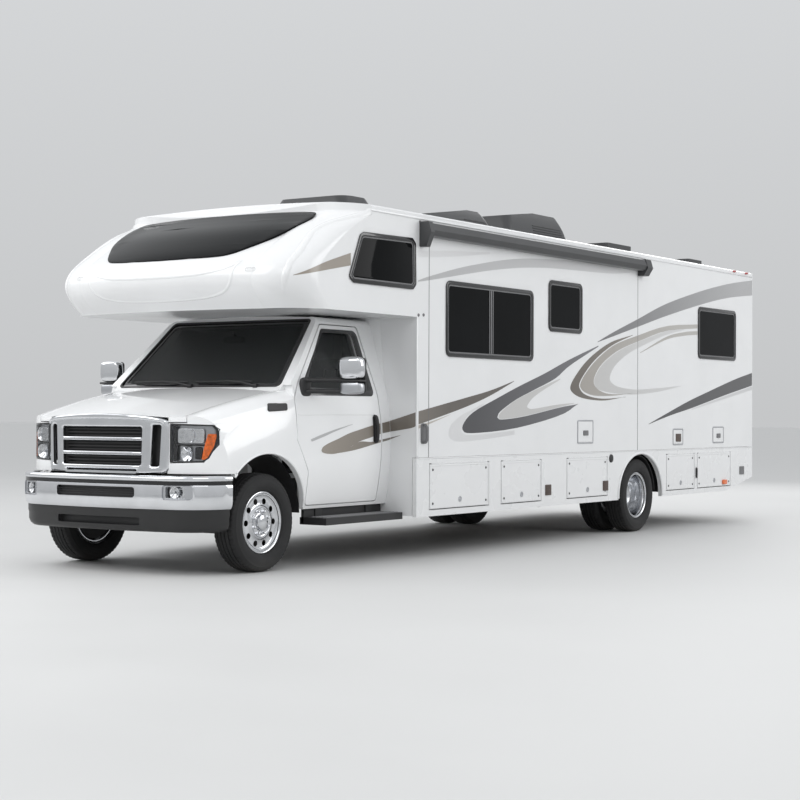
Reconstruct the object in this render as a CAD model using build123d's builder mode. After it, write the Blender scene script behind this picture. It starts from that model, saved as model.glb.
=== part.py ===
"""Cab-over motorhome on a cutaway van chassis, in millimetres.

Frame: +Z up, the nose points along -Y, +X is the vehicle's left side. The origin is on the ground,
under the middle of the whole vehicle. Stations along the vehicle are given as distances behind the
front axle and turned into Y by at().
"""

import math
import os

from build123d import *

os.makedirs("parts", exist_ok=True)

# Overall
wheelbase = 5920
front_overhang = 850
rear_overhang = 3080
overall_length = front_overhang + wheelbase + rear_overhang
front_axle_y = front_overhang - overall_length / 2
rear_end = wheelbase + rear_overhang
panel_gap = 8
seat_gap = 0.3
hinge_gap = 0.3
slack = 5

# Wheels and steering
tyre_diameter = 760
tyre_width = 225
rim_lip_radius = 236
rim_seat_radius = 214
rim_width = 172
rim_lip = 8
barrel_radius = 206
barrel_thickness = 8
hub_z = tyre_diameter / 2
front_wheel_x = 870
rear_outer_wheel_x = 1135
twin_spacing = 300
kingpin_x = 745
kingpin_radius = 18
spindle_radius = 40
rear_spindle_radius = 45
running_clearance = 0.05

# Coach body
coach_half_width = 1270
wall = 45
skirt_wall = 40
coach_front = 1670
coach_rear = wheelbase + 3000
floor_bottom = 800
floor_top = 850
skirt_bottom = 350
skirt_rear_bottom = 487
skirt_sweep_start = wheelbase + 2190
skirt_top = floor_top - 4
wall_top = 2858
roof_edge = wall_top + 46
roof_crown = roof_edge + 41
rear_arch_half_length = 510
rear_arch_height = 812
rear_wall_bottom = 645
reveal = 14

# Chassis
rail_x = 430
rail_width = 70
rail_bottom = 520
rail_top = 700
rail_front = -640
rail_rear = wheelbase + 2780
axle_beam_z = 330
axle_eye_radius = 38
axle_eye_height = 100
spring_pad_z = axle_beam_z + 50
axle_nose = 240
axle_tube_radius = 60
gearbox_end = 1250
leaf_half = 760
leaf_x = 560
leaf_width = 75
leaf_eye_radius = 26
hanger_bottom = 600

# Tow receiver under the rear of the frame
hitch_half = 38
hitch_socket = 25.5
hitch_z = 425
hitch_bar_from = wheelbase + 2640
hitch_bar_to = wheelbase + 2720
hitch_end = wheelbase + 3040
hitch_pin = wheelbase + 2960
hitch_pin_radius = 8

# Nose over the cab, and its wide front window as (x, height) corners
cap_bottom = 2030
cap_wall = 40
cap_window = [(-640, 2452), (640, 2452), (860, 2590), (985, 2800), (-985, 2800), (-860, 2590)]
cap_window_radius = 40

# Cab
cab_wall = 60
cab_front = 290
cab_sill = 460
cab_floor_bottom = rail_top + 5
cab_floor_top = cab_floor_bottom + 40
belt_z = 1360
cab_roof = cap_bottom
cab_reach = 1100
screen_base = (330, 1425)
screen_top = (905, 1985)
screen_base_half = 850
screen_top_half = 728
glass_thickness = 8
front_arch_radius = 515
front_arch_z = 390
front_arch_lead = -380
liner_radius = front_arch_radius + 11
liner_x_from = 575

# Cab doors: outlines as (station, height) corners
door_hinge = (371, 1006)
door_front = door_hinge[0] + 5
door_edge_gap = 10
door_sill_x = 925
door_radius = 30
door_outline = [(door_front, 1345), (door_front, 1010), (532, 760), (532, 492), (1510, 492), (1536, 980),
                (1512, 1400), (1432, 1942), (931, 1942), (452, 1452)]
door_opening = [(door_front - door_edge_gap, 1352), (door_front - door_edge_gap, 1006), (524, 756),
                (524, 484), (1520, 484), (1547, 980), (1526, 1400), (1456, 1950), (925, 1950), (446, 1460)]
door_window = [(480, 1420), (1400, 1400), (1352, 1890), (930, 1890)]
door_window_radius = 45

# Front clip: one lofted nose that is split into hood, wings, lamps and grille
clip_wall = 38
clip_bulge_z = 860
hood_rear = 278
hood_hinge = (284, 1404)
hood_lip = 1150
hood_half_front = 730
hood_half_rear = 842
lamp_outline = [(618, 842), (872, 850), (962, 1000), (962, 1128), (618, 1140)]
grille_half = 598
grille_bottom = 762
grille_top = 1176
bumper_top = 752
bumper_bottom = 500
valance_bottom = 330
wing_outline = [(-1000, 200), (522, 200), (522, 757), (door_front - door_edge_gap, 1006),
                (door_front - door_edge_gap, 1440), (-1000, 1440)]
# Columns: station, half widths at sill, side, shoulder and hood edge,
# heights of shoulder, hood edge and crown
clip_table = [
    (-760, 930, 955, 880, 720, 1105, 1160, 1186),
    (-250, 955, 1002, 945, 770, 1215, 1292, 1322),
    (540, 955, 1005, 975, 850, 1360, 1424, 1456),
]
# Bumper face from bottom to top. Columns: height, how far it draws in
bumper_face = [(500, 20), (514, 10), (536, 3), (566, 0), (668, 0), (682, 4), (689, 13), (697, 17), (706, 14),
               (714, 4), (724, 0), (737, 2), (747, 10), (752, 24)]


def skirt_station(share):
    """Station at a share of the skirt's run from the coach front to the rear wheel arch."""
    return coach_front + share * (wheelbase - rear_arch_half_length - coach_front)


crossmember_stations = [skirt_station(0.029), skirt_station(0.344), skirt_station(0.636),
                        skirt_station(0.971), wheelbase + 560, wheelbase + 1389, wheelbase + 2480]

# Storage bays: name, first station, last station, side of the vehicle
bay_bottom = 410
bay_top = 790
bay_depth = 520
bay_box_wall = 12
bay_hinge_inset = 30
bay_table = [
    ("bay_door_left_1", skirt_station(0.054), skirt_station(0.314), 1),
    ("bay_door_left_2", skirt_station(0.373), skirt_station(0.570), 1),
    ("bay_door_left_3", skirt_station(0.706), skirt_station(0.934), 1),
    ("bay_door_left_4", wheelbase + 630, wheelbase + 1350, 1),
    ("bay_door_left_5", wheelbase + 1428, wheelbase + 2353, 1),
    ("bay_door_right_1", skirt_station(0.054), skirt_station(0.314), -1),
]

# Entry door on the right wall, with its own window
entry_from = 3900
entry_to = 4580
entry_bottom = 870
entry_top = 2690
entry_window = [(entry_from + 150, 1720), (entry_to - 140, 1720),
                (entry_to - 140, 2400), (entry_from + 150, 2400)]

# Coach windows: outline as (station, height) corners, corner radius, sides it is on
bed_window_from = wheelbase + 1433
bed_window_to = wheelbase + 2488
window_table = [
    ([(760, 2268), (1606, 2268), (1590, 2672), (872, 2664)], 60, (1, -1)),
    ([(2115, 1710), (3634, 1710), (3634, 2368), (2115, 2368)], 60, (1, -1)),
    ([(3930, 2004), (4605, 2004), (4605, 2494), (3930, 2494)], 60, (1,)),
    ([(bed_window_from, 1845), (bed_window_to, 1845),
      (bed_window_to, 2425), (bed_window_from, 2425)], 60, (1, -1)),
]
rear_window = [(-520, 1850), (520, 1850), (520, 2350), (-520, 2350)]
window_frame = 34
window_proud = 8

# Nose moulding at evenly spaced levels, bottom to top
# Columns: nose station at the middle, nose station at the corner, corner half width, station of the flat side
nose_table = [
    (10, 100, 880, 430),
    (-178, -52, 900, 315),
    (-222, -80, 905, 290),
    (-95, 45, 905, 385),
    (130, 262, 900, 560),
    (400, 510, 890, 775),
    (690, 770, 880, 1000),
]

# Awning on the left wall
awning_from = 1700
awning_to = wheelbase + 40
awning_depth = 112

# Roof units: first station, last station, half width, top height, how far the top draws in,
# share of the height at the nose, share of the length where the full height is reached
unit_table = [
    (0.54 * wheelbase, 0.76 * wheelbase, 360, roof_crown + 290, 110, 0.6, 0.7),
    (0.80 * wheelbase, wheelbase + 140, 370, roof_crown + 385, 110, 0.8, 0.5),
    (1310, 1796, 440, roof_crown + 55, 20, 1, 0.5),
    (1800, 2340, 405, roof_crown + 200, 60, 0.95, 0.4),
]
# Roof vents: station, x, half size, rise above the crown
vent_table = [(wheelbase + 950, 250, 300, 165), (wheelbase + 2600, 520, 200, 115)]


def at(station):
    """Y of a station, given as a distance behind the front axle."""
    return front_axle_y + station


def finish(part, name):
    """Labels a finished piece and writes its STEP file."""
    part.label = name
    export_step(part, f"parts/{name}.step")


def sided(side, near, far):
    """Low and high X of a span given for the left side, on either side."""
    return sorted((side * near, side * far))


def prism_yz(points, x_from, x_to, radius=0):
    """Solid of a side outline, given as (station, height) corners, between two X planes."""
    with BuildPart(mode=Mode.PRIVATE) as prism:
        with BuildSketch(Plane.YZ.offset(x_from)) as outline:
            with BuildLine():
                Polyline([(at(s), z) for s, z in points], close=True)
            make_face()
            if radius:
                fillet(outline.vertices(), radius)
        extrude(amount=x_to - x_from)
    return prism.part


def prism_xz(points, from_station, to_station, radius=0):
    """Solid of a front outline, given as (x, height) corners, between two stations."""
    with BuildPart(mode=Mode.PRIVATE) as prism:
        with BuildSketch(Plane.XZ.offset(-at(from_station))) as outline:
            with BuildLine():
                Polyline(points, close=True)
            make_face()
            if radius:
                fillet(outline.vertices(), radius)
        extrude(amount=from_station - to_station)
    return prism.part


def prism_xy(points, bottom, top):
    """Solid of a plan, given as (x, station) corners, between two heights."""
    with BuildPart(mode=Mode.PRIVATE) as prism:
        with BuildSketch(Plane.XY.offset(bottom)):
            with BuildLine():
                Polyline([(x, at(s)) for x, s in points], close=True)
            make_face()
        extrude(amount=top - bottom)
    return prism.part


def box_between(low, high):
    """Box from its low corner to its high corner, with Y given as stations."""
    size = [b - a for a, b in zip(low, high)]
    with BuildPart(Plane((low[0], at(low[1]), low[2])), mode=Mode.PRIVATE) as box:
        Box(*size, align=(Align.MIN, Align.MIN, Align.MIN))
    return box.part


def side_box(side, low, high):
    """Box given for the left side, on either side."""
    x_low, x_high = sided(side, low[0], high[0])
    return box_between((x_low, *low[1:]), (x_high, *high[1:]))


def rounded_box(side, low, high, radius):
    """Box given for the left side, on either side, with all its edges rounded."""
    with BuildPart(mode=Mode.PRIVATE) as box:
        add(side_box(side, low, high))
        fillet(box.edges(), radius)
    return box.part


def rectangle(low, high):
    """Corners of an upright rectangle between two corners."""
    return [low, (high[0], low[1]), high, (low[0], high[1])]


def rod(start, end, radius):
    """Round bar between two points in the vehicle frame."""
    along = Vector(*end) - Vector(*start)
    with BuildPart(Plane(origin=start, z_dir=along), mode=Mode.PRIVATE) as bar:
        Cylinder(radius, along.length, align=(Align.CENTER, Align.CENTER, Align.MIN))
    return bar.part


def arch_cylinder(side, station, height, radius, near, far):
    """Round bar along X on one side, used for wheel arches and liners."""
    x_low, x_high = sided(side, near, far)
    return rod((x_low, at(station), height), (x_high, at(station), height), radius)


def cut(shape, *tools):
    """Shape with tools taken away."""
    with BuildPart(mode=Mode.PRIVATE) as result:
        add(shape)
        for tool in tools:
            add(tool, mode=Mode.SUBTRACT)
    return result.part


def common(shape, tool):
    """What a shape and a tool share."""
    with BuildPart(mode=Mode.PRIVATE) as result:
        add(shape)
        add(tool, mode=Mode.INTERSECT)
    return result.part


def grown(points, distance):
    """Outline moved outward by a distance, or inward if it is negative."""
    with BuildSketch(mode=Mode.PRIVATE) as outline:
        with BuildLine():
            Polyline(points, close=True)
        make_face()
        offset(amount=distance, kind=Kind.INTERSECTION)
    edges = outline.sketch.faces()[0].outer_wire().order_edges()
    return [(e.position_at(0).X, e.position_at(0).Y) for e in edges]


# Chassis frame: two rails, crossmembers that carry the coach floor, spring hangers and the tow receiver
def build_chassis():
    crossmember_half, outrigger_half = 16, 1180
    hanger_reach, hanger_half = 640, 40
    engine_beam_stations, engine_beam_half, engine_beam_top = (-200, -600), 60, 540
    rail_inner, rail_outer = rail_x - rail_width / 2, rail_x + rail_width / 2
    socket = box_between((-hitch_socket, hitch_bar_to, hitch_z - hitch_socket),
                         (hitch_socket, hitch_end + slack, hitch_z + hitch_socket))
    with BuildPart() as frame:
        for side in (1, -1):
            add(side_box(side, (rail_inner, rail_front, rail_bottom), (rail_outer, rail_rear, rail_top)))
            for s in (wheelbase - leaf_half, wheelbase + leaf_half):
                add(side_box(side, (rail_outer, s - hanger_half, hanger_bottom),
                             (hanger_reach, s + hanger_half, rail_top)))
        for s in crossmember_stations:
            add(box_between((-outrigger_half, s - crossmember_half, rail_top),
                            (outrigger_half, s + crossmember_half, floor_bottom)))
        for s in engine_beam_stations:
            add(box_between((-rail_inner, s - engine_beam_half, rail_bottom - 40),
                            (rail_inner, s + engine_beam_half, engine_beam_top)))
        add(box_between((-rail_x, hitch_bar_from, hitch_z - hitch_half), (rail_x, hitch_bar_to, rail_bottom)))
        add(box_between((-hitch_half, hitch_bar_from, hitch_z - hitch_half),
                        (hitch_half, hitch_end, hitch_z + hitch_half)))
        add(socket, mode=Mode.SUBTRACT)
        add(rod((-2 * hitch_half, at(hitch_pin), hitch_z), (2 * hitch_half, at(hitch_pin), hitch_z),
                hitch_pin_radius), mode=Mode.SUBTRACT)
    finish(frame.part, "chassis_frame")


# Front axle beam with a kingpin eye at each end and a pad under each coil spring
def build_front_axle():
    beam_half_height, beam_half_depth = 50, 42
    beam_end = kingpin_x - 95
    neck_half_height, neck_half_depth, neck_lap = 40, 28, 40
    eye_low, eye_high = hub_z - axle_eye_height / 2, hub_z + axle_eye_height / 2
    with BuildPart() as axle:
        add(box_between((-beam_end, -beam_half_depth, axle_beam_z - beam_half_height),
                        (beam_end, beam_half_depth, axle_beam_z + beam_half_height)))
        for side in (1, -1):
            add(side_box(side, (beam_end - neck_lap, -neck_half_depth, hub_z - neck_half_height),
                         (kingpin_x, neck_half_depth, hub_z + neck_half_height)))
            x = side * kingpin_x
            add(rod((x, at(0), eye_low), (x, at(0), eye_high), axle_eye_radius))
            bore = rod((x, at(0), eye_low - slack), (x, at(0), eye_high + slack),
                       kingpin_radius + running_clearance)
            add(bore, mode=Mode.SUBTRACT)
    finish(axle.part, "front_axle")


# Steering knuckle: a yoke over the axle eye, the kingpin through it and the wheel spindle
def build_knuckle(side, name):
    lug_gap, lug_height = 6, 40
    plate_x, plate_thickness, plate_half = kingpin_x + 45, 26, 60
    spindle_end = front_wheel_x + 62
    top = axle_eye_height / 2 + lug_gap
    reach = top + lug_height
    with BuildPart() as knuckle:
        for low in (top, -reach):
            with BuildSketch(Plane.XY.offset(hub_z + low)):
                with Locations((side * kingpin_x, at(0))):
                    Circle(axle_eye_radius)
                with Locations((side * (kingpin_x + plate_x) / 2, at(0))):
                    Rectangle(plate_x - kingpin_x, 2 * axle_eye_radius)
            extrude(amount=lug_height)
        x = side * kingpin_x
        add(rod((x, at(0), hub_z - reach), (x, at(0), hub_z + reach), kingpin_radius))
        add(side_box(side, (plate_x, -plate_half, hub_z - reach),
                     (plate_x + plate_thickness, plate_half, hub_z + reach)))
        add(rod((side * plate_x, at(0), hub_z), (side * spindle_end, at(0), hub_z), spindle_radius))
    finish(knuckle.part, name)


# Rear axle: tapered tube, differential bowl, the two wheel spindles and the drive shaft
def build_rear_axle():
    tube_end, spindle_end, taper_from = 690, 1040, 400
    bowl_radius, bowl_half, bowl_flat, bowl_neck = 165, 130, 60, axle_tube_radius + 20
    nose_radius, shaft_radius, shaft_front_z, shaft_rise, shaft_gap = 70, 44, 620, 6, 2.7
    y = at(wheelbase)
    # Columns: x, radius
    half = [(bowl_flat, bowl_radius), (bowl_half, bowl_neck), (taper_from, axle_tube_radius),
            (tube_end, axle_tube_radius), (tube_end, rear_spindle_radius), (spindle_end, rear_spindle_radius),
            (spindle_end, 0)]
    outline = [(x, y + r) for x, r in half]
    outline = [(-x, along) for x, along in reversed(outline)] + outline
    with BuildPart() as axle:
        with BuildSketch(Plane.XY.offset(hub_z)):
            with BuildLine():
                Polyline(outline, close=True)
            make_face()
        revolve(axis=Axis((0, y, hub_z), (1, 0, 0)))
        add(rod((0, at(wheelbase - axle_nose), hub_z), (0, y, hub_z), nose_radius))
        add(rod((0, at(gearbox_end + shaft_gap), shaft_front_z),
                (0, at(wheelbase - axle_nose - seat_gap), hub_z + shaft_rise), shaft_radius))
    finish(axle.part, "rear_axle")


def build_springs():
    """Rear leaf packs bowed over the axle and front coils between beam and rails."""
    leaf_half_thickness, eye_z = 23, hanger_bottom - leaf_eye_radius
    pack_middle = hub_z + axle_tube_radius + leaf_half_thickness
    coil_radius, wire_radius, coil_turns = 52, 9, 4
    first, last = at(wheelbase - leaf_half), at(wheelbase + leaf_half)
    pitch = (rail_bottom - spring_pad_z) / coil_turns
    with BuildPart() as springs:
        for side in (1, -1):
            with BuildSketch(Plane.YZ.offset(side * leaf_x - leaf_width / 2)):
                with BuildLine():
                    for lift in (leaf_half_thickness, -leaf_half_thickness):
                        ThreePointArc((first, eye_z + lift), (at(wheelbase), pack_middle + lift),
                                      (last, eye_z + lift))
                    for y in (first, last):
                        Line((y, eye_z + leaf_half_thickness), (y, eye_z - leaf_half_thickness))
                make_face()
                with Locations((first, eye_z), (last, eye_z)):
                    Circle(leaf_eye_radius)
            extrude(amount=leaf_width)
            with BuildSketch(Plane.XZ.offset(-at(0))):
                with Locations([(side * rail_x + coil_radius, spring_pad_z + pitch * (n + 0.5))
                                for n in range(coil_turns)]):
                    Rectangle(2 * wire_radius, pitch)
            revolve(axis=Axis((side * rail_x, at(0), 0), (0, 0, 1)))
    finish(springs.part, "springs")


# Engine and gearbox as plain blocks at their real place
def build_engine():
    block_low, block_high = (-300, -420, 540), (300, 240, 1090)
    gearbox_low, gearbox_high = (-170, 240, 560), (170, gearbox_end, 690)
    with BuildPart() as engine:
        add(box_between(block_low, block_high))
        add(box_between(gearbox_low, gearbox_high))
    finish(engine.part, "engine")


def build_tanks():
    """Fuel tank beside the shaft and waste tank behind the axle, hung under the crossmembers."""
    tank_outer, shaft_clear, corner = 385, 70, 40
    fuel_low = (shaft_clear, skirt_station(0.302), 450)
    fuel_high = (tank_outer, skirt_station(0.703), rail_top)
    waste_low, waste_high = (-tank_outer, wheelbase + 780, 480), (tank_outer, wheelbase + 1980, rail_top)
    with BuildPart() as tanks:
        add(box_between(fuel_low, fuel_high))
        add(box_between(waste_low, waste_high))
        fillet(tanks.edges().filter_by(Axis.Y), corner)
    finish(tanks.part, "underbody_tanks")


def build_exhaust():
    """Pipe, silencer and side outlet along the right rail, on two hangers."""
    pipe_x, pipe_z, pipe_radius, bend = -620, 470, 34, 120
    first, last = 1700, wheelbase - 860
    outlet_x, outlet_z, outlet_run = -1210, 320, 60
    silencer_from, silencer_to, silencer_radius = skirt_station(0.382), skirt_station(0.596), 92
    hanger_radius = 12
    with BuildPart() as exhaust:
        with BuildLine() as route:
            FilletPolyline((pipe_x, at(first), pipe_z), (pipe_x, at(last), pipe_z),
                           (outlet_x, at(last) + outlet_run, outlet_z), radius=bend)
        with BuildSketch(Plane(origin=route.line @ 0, z_dir=route.line % 0)):
            Circle(pipe_radius)
        sweep()
        add(rod((pipe_x, at(silencer_from), pipe_z), (pipe_x, at(silencer_to), pipe_z), silencer_radius))
        for s in crossmember_stations[1:3]:
            add(rod((pipe_x, at(s), pipe_z), (pipe_x, at(s), rail_top), hanger_radius))
    finish(exhaust.part, "exhaust")


# Wheels: tyre section, pressed rims with hand holes. Twin rims at the back share their mounting faces
def build_tyres(centres, station, name):
    outer = tyre_diameter / 2
    bead_x, bead_top = rim_width / 2 - rim_lip, rim_lip_radius + 2
    bulge = (tyre_width / 2, 300)
    shoulder, corner, tread = (98.5, outer - 26), (88.5, outer - 8), (64.5, outer - 3)
    with BuildPart() as tyres:
        for x in centres:
            with BuildSketch(Plane.XZ.offset(-at(station))):
                with BuildLine():
                    for d in (1, -1):
                        bead = (x + d * bead_x, hub_z + rim_seat_radius)
                        lip = (x + d * bead_x, hub_z + bead_top)
                        wide, edge, turn, flat = [(x + d * a, hub_z + r)
                                                  for a, r in (bulge, shoulder, corner, tread)]
                        Line(bead, lip)
                        ThreePointArc(lip, wide, edge)
                        ThreePointArc(edge, turn, flat)
                    ThreePointArc((x - tread[0], hub_z + tread[1]), (x, hub_z + outer),
                                  (x + tread[0], hub_z + tread[1]))
                    Line((x - bead_x, hub_z + rim_seat_radius), (x + bead_x, hub_z + rim_seat_radius))
                make_face()
            revolve(axis=Axis((0, at(station), hub_z), (1, 0, 0)))
    finish(tyres.part, name)


def rim_band(points, side, station):
    """Ring of a pressed rim: a polygon of (x, radius) turned about the axle line."""
    with BuildPart(mode=Mode.PRIVATE) as ring:
        with BuildSketch(Plane.XZ.offset(-at(station))):
            with BuildLine():
                Polyline([(side * x, hub_z + r) for x, r in points], close=True)
            make_face()
        revolve(axis=Axis((0, at(station), hub_z), (1, 0, 0)))
    return ring.part


def barrel_points(x):
    """Barrel with its two lips around wheel plane x."""
    edge = rim_width / 2
    inner = barrel_radius - barrel_thickness
    return [
        (x - edge, rim_lip_radius), (x - edge + rim_lip, rim_lip_radius), (x - edge + rim_lip, barrel_radius),
        (x + edge - rim_lip, barrel_radius), (x + edge - rim_lip, rim_lip_radius), (x + edge, rim_lip_radius),
        (x + edge, inner), (x - edge, inner),
    ]


def hand_holes(x, count, circle, radius, station):
    """Ring of round bars that cut the hand holes through a disc at plane x."""
    reach = 80
    with BuildPart(Plane(origin=(x, at(station), hub_z), z_dir=(1, 0, 0)), mode=Mode.PRIVATE) as holes:
        with PolarLocations(circle, count):
            Cylinder(radius, 2 * reach)
    return holes.part


def build_front_rim(side, name):
    x = front_wheel_x
    face, hub_face, cap_face, back = x + 58, x + 74, x + 104, x - 20
    cap_wall_thickness, disc = 10, 10
    seat = barrel_radius - barrel_thickness + 4
    bore = spindle_radius + running_clearance
    section = [
        (face + 12, seat), (face, 188), (face, 132), (hub_face, 118), (hub_face, 64), (cap_face, 56),
        (cap_face, 0),
        (cap_face - cap_wall_thickness, 0), (cap_face - cap_wall_thickness, bore), (back, bore), (back, 62),
        (hub_face - 12, 62), (hub_face - 12, 112), (face - disc, 126), (face - disc, 192), (face + 2, seat),
    ]
    hole_count, hole_circle, hole_radius = 10, 162, 19
    with BuildPart() as rim:
        add(rim_band(barrel_points(x), side, 0))
        add(rim_band(section, side, 0))
        add(hand_holes(side * x, hole_count, hole_circle, hole_radius, 0), mode=Mode.SUBTRACT)
    finish(rim.part, name)


def build_rear_rims(side, name):
    outer, inner = rear_outer_wheel_x, rear_outer_wheel_x - twin_spacing
    mount = (outer + inner) / 2
    face, hub_face, hub_root, hub_back, hub_end = mount + 12, mount + 100, mount + 30, mount + 70, mount - 60
    seat = barrel_radius - barrel_thickness + 4
    bore = rear_spindle_radius + running_clearance
    section = [
        (outer - 60, seat), (face, 150), (face, 92), (hub_root, 86), (hub_face - 8, 70), (hub_face, 52),
        (hub_face, 0), (hub_back, 0), (hub_back, bore), (hub_end, bore), (hub_end, 92), (mount - 12, 92),
        (mount - 12, 150), (inner + 60, seat), (inner + 74, seat), (mount - 2, 160), (mount + 2, 160),
        (outer - 74, seat),
    ]
    hole_count, hole_circle, hole_radius = 8, 126, 18
    with BuildPart() as rims:
        for x in (outer, inner):
            add(rim_band(barrel_points(x), side, wheelbase))
        add(rim_band(section, side, wheelbase))
        add(hand_holes(side * mount, hole_count, hole_circle, hole_radius, wheelbase), mode=Mode.SUBTRACT)
    finish(rims.part, name)


# Cab: one cross-section serves the shell, the doors and their glass, each at its own inset
def cab_section(inset):
    """Cab cross-section, drawn inside the outer one by inset."""
    low, bulge, belt = (955 - inset, cab_sill), (1005 - inset, 900), (975 - inset, belt_z)
    cant, bend = (802 - inset, 1945), (772 - inset, 1992 - inset * 0.8)
    crown = (690 - inset, cab_roof - 22 - inset)
    with BuildSketch(Plane.XZ.offset(-at(cab_front)), mode=Mode.PRIVATE) as section:
        with BuildLine():
            for d in (1, -1):
                foot, side, waist, rail, turn, top = [(d * x, z)
                                                      for x, z in (low, bulge, belt, cant, bend, crown)]
                ThreePointArc(foot, side, waist)
                Line(waist, rail)
                ThreePointArc(rail, turn, top)
            ThreePointArc(crown, (0, cab_roof - inset), (-crown[0], crown[1]))
            Line((-low[0], low[1]), low)
        make_face()
    return section.sketch


def screen_station(height, inset=0):
    """Station of the raked screen plane at a height, moved inward by inset."""
    rise = screen_top[1] - screen_base[1]
    run = screen_top[0] - screen_base[0]
    return screen_base[0] + (height - screen_base[1]) * run / rise + inset * math.hypot(rise, run) / rise


def cab_solid(inset, front, bottom):
    """Cab volume behind the raked screen, inset from its outer skin."""
    above, cowl_drop = cab_roof + 170, 25
    outline = [(front, bottom), (coach_front, bottom), (coach_front, above),
               (screen_station(above, inset), above),
               (screen_station(screen_base[1], inset), screen_base[1] - inset),
               (front, screen_base[1] - cowl_drop - inset)]
    with BuildPart(mode=Mode.PRIVATE) as cab:
        extrude(cab_section(inset), amount=coach_front - cab_front, dir=(0, 1, 0))
        add(prism_yz(outline, -cab_reach, cab_reach), mode=Mode.INTERSECT)
    return cab.part


def door_tool(outline, side, sill_x):
    """Prism through one side of the cab: outside the sill below the belt, through the roof rail above it."""
    split, rail_inner = belt_z - 110, 700
    above = box_between((-cab_reach, 0, split), (cab_reach, coach_front, cab_roof))
    below = box_between((-cab_reach, 0, 0), (cab_reach, coach_front, split))
    upper = cut(prism_yz(outline, *sided(side, rail_inner, cab_reach), door_radius), below)
    lower = cut(prism_yz(outline, *sided(side, sill_x, cab_reach), door_radius), above)
    with BuildPart(mode=Mode.PRIVATE) as tool:
        add(upper)
        add(lower)
    return tool.part


def screen_prism(depth_in, depth_out):
    """Raked prism of the windscreen outline, from inside the screen plane to outside it."""
    foot_gap, corner = 12, 40
    rake = Vector(0, screen_top[0] - screen_base[0], screen_top[1] - screen_base[1])
    height = rake.length
    rake = rake.normalized()
    normal = Vector(0, -rake.Z, rake.Y)
    origin = Vector(0, at(screen_base[0]), screen_base[1]) - normal * depth_in
    with BuildPart(mode=Mode.PRIVATE) as prism:
        with BuildSketch(Plane(origin=origin, x_dir=(1, 0, 0), z_dir=normal)) as outline:
            with BuildLine():
                Polyline([(-screen_base_half, foot_gap), (screen_base_half, foot_gap),
                          (screen_top_half, height), (-screen_top_half, height)], close=True)
            make_face()
            fillet(outline.vertices(), corner)
        extrude(amount=depth_in + depth_out)
    return prism.part


def build_cab():
    tunnel_half, dash_wall, wing_from = 890, 50, 880
    screen_in, screen_out, glass_face = 75, 200, 18
    shell_outer = cab_solid(0, cab_front, cab_sill)
    shell = cut(shell_outer, cab_solid(cab_wall, cab_front + dash_wall, cab_floor_top),
                box_between((-tunnel_half, cab_front - slack, 0),
                            (tunnel_half, coach_front + slack, cab_floor_bottom)))
    with BuildPart() as body:
        add(shell)
        for side in (1, -1):
            add(door_tool(door_opening, side, door_sill_x), mode=Mode.SUBTRACT)
            add(prism_yz(wing_outline, *sided(side, wing_from, cab_reach)), mode=Mode.SUBTRACT)
            add(arch_cylinder(side, 0, front_arch_z, liner_radius, liner_x_from, cab_reach),
                mode=Mode.SUBTRACT)
        add(screen_prism(screen_in, screen_out), mode=Mode.SUBTRACT)
    finish(body.part, "cab_body")
    with BuildPart() as screen:
        add(screen_prism(glass_face, glass_thickness - glass_face))
    finish(screen.part, "windscreen")
    for side, name in ((1, "left"), (-1, "right")):
        build_cab_door(side, name, shell)
        build_mirror(side, name, shell_outer)


def build_cab_door(side, name, shell):
    """Door cut from the cab's own skin, on two hinge barrels, with its drop glass."""
    glass_inset, window_from = 22, 600
    barrel_heights, barrel_length, leaf_reach, leaf_lap = (1015, 1085), 50, 22, 12
    window = prism_yz(door_window, *sided(side, window_from, cab_reach), door_window_radius)
    x, y = side * door_hinge[1], at(door_hinge[0])
    with BuildPart() as door:
        add(common(shell, door_tool(door_outline, side, door_sill_x + panel_gap)))
        add(window, mode=Mode.SUBTRACT)
        for z in barrel_heights:
            add(rod((x, y, z), (x, y, z + barrel_length), door_front - door_hinge[0] - hinge_gap))
            add(side_box(side, (door_hinge[1] - leaf_reach, door_hinge[0], z),
                         (door_hinge[1], door_front + leaf_lap, z + barrel_length)))
    finish(door.part, f"cab_door_{name}")
    pane = cut(cab_solid(glass_inset, cab_front, cab_sill),
               cab_solid(glass_inset + glass_thickness, cab_front, cab_sill))
    with BuildPart() as glass:
        add(common(pane, window))
    finish(glass.part, f"cab_glass_{name}")


def build_mirror(side, name, cab):
    """Door mirror: foot on the door, swept arm and rounded head."""
    head_low, head_high, head_radius = (1176, 655, 1402), (1402, 765, 1690), 36
    foot_low, foot_high, foot_radius = (930, 425, 1330), (1000, 560, 1425), 14
    arm_foot, arm_head, arm_radius = (985, 500, 1380), (1200, 690, 1450), 26
    with BuildPart() as mirror_part:
        add(rounded_box(side, head_low, head_high, head_radius))
        add(rounded_box(side, foot_low, foot_high, foot_radius))
        add(rod((side * arm_foot[0], at(arm_foot[1]), arm_foot[2]),
                (side * arm_head[0], at(arm_head[1]), arm_head[2]), arm_radius))
        add(cab, mode=Mode.SUBTRACT)
    finish(mirror_part.part, f"mirror_{name}")


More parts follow.
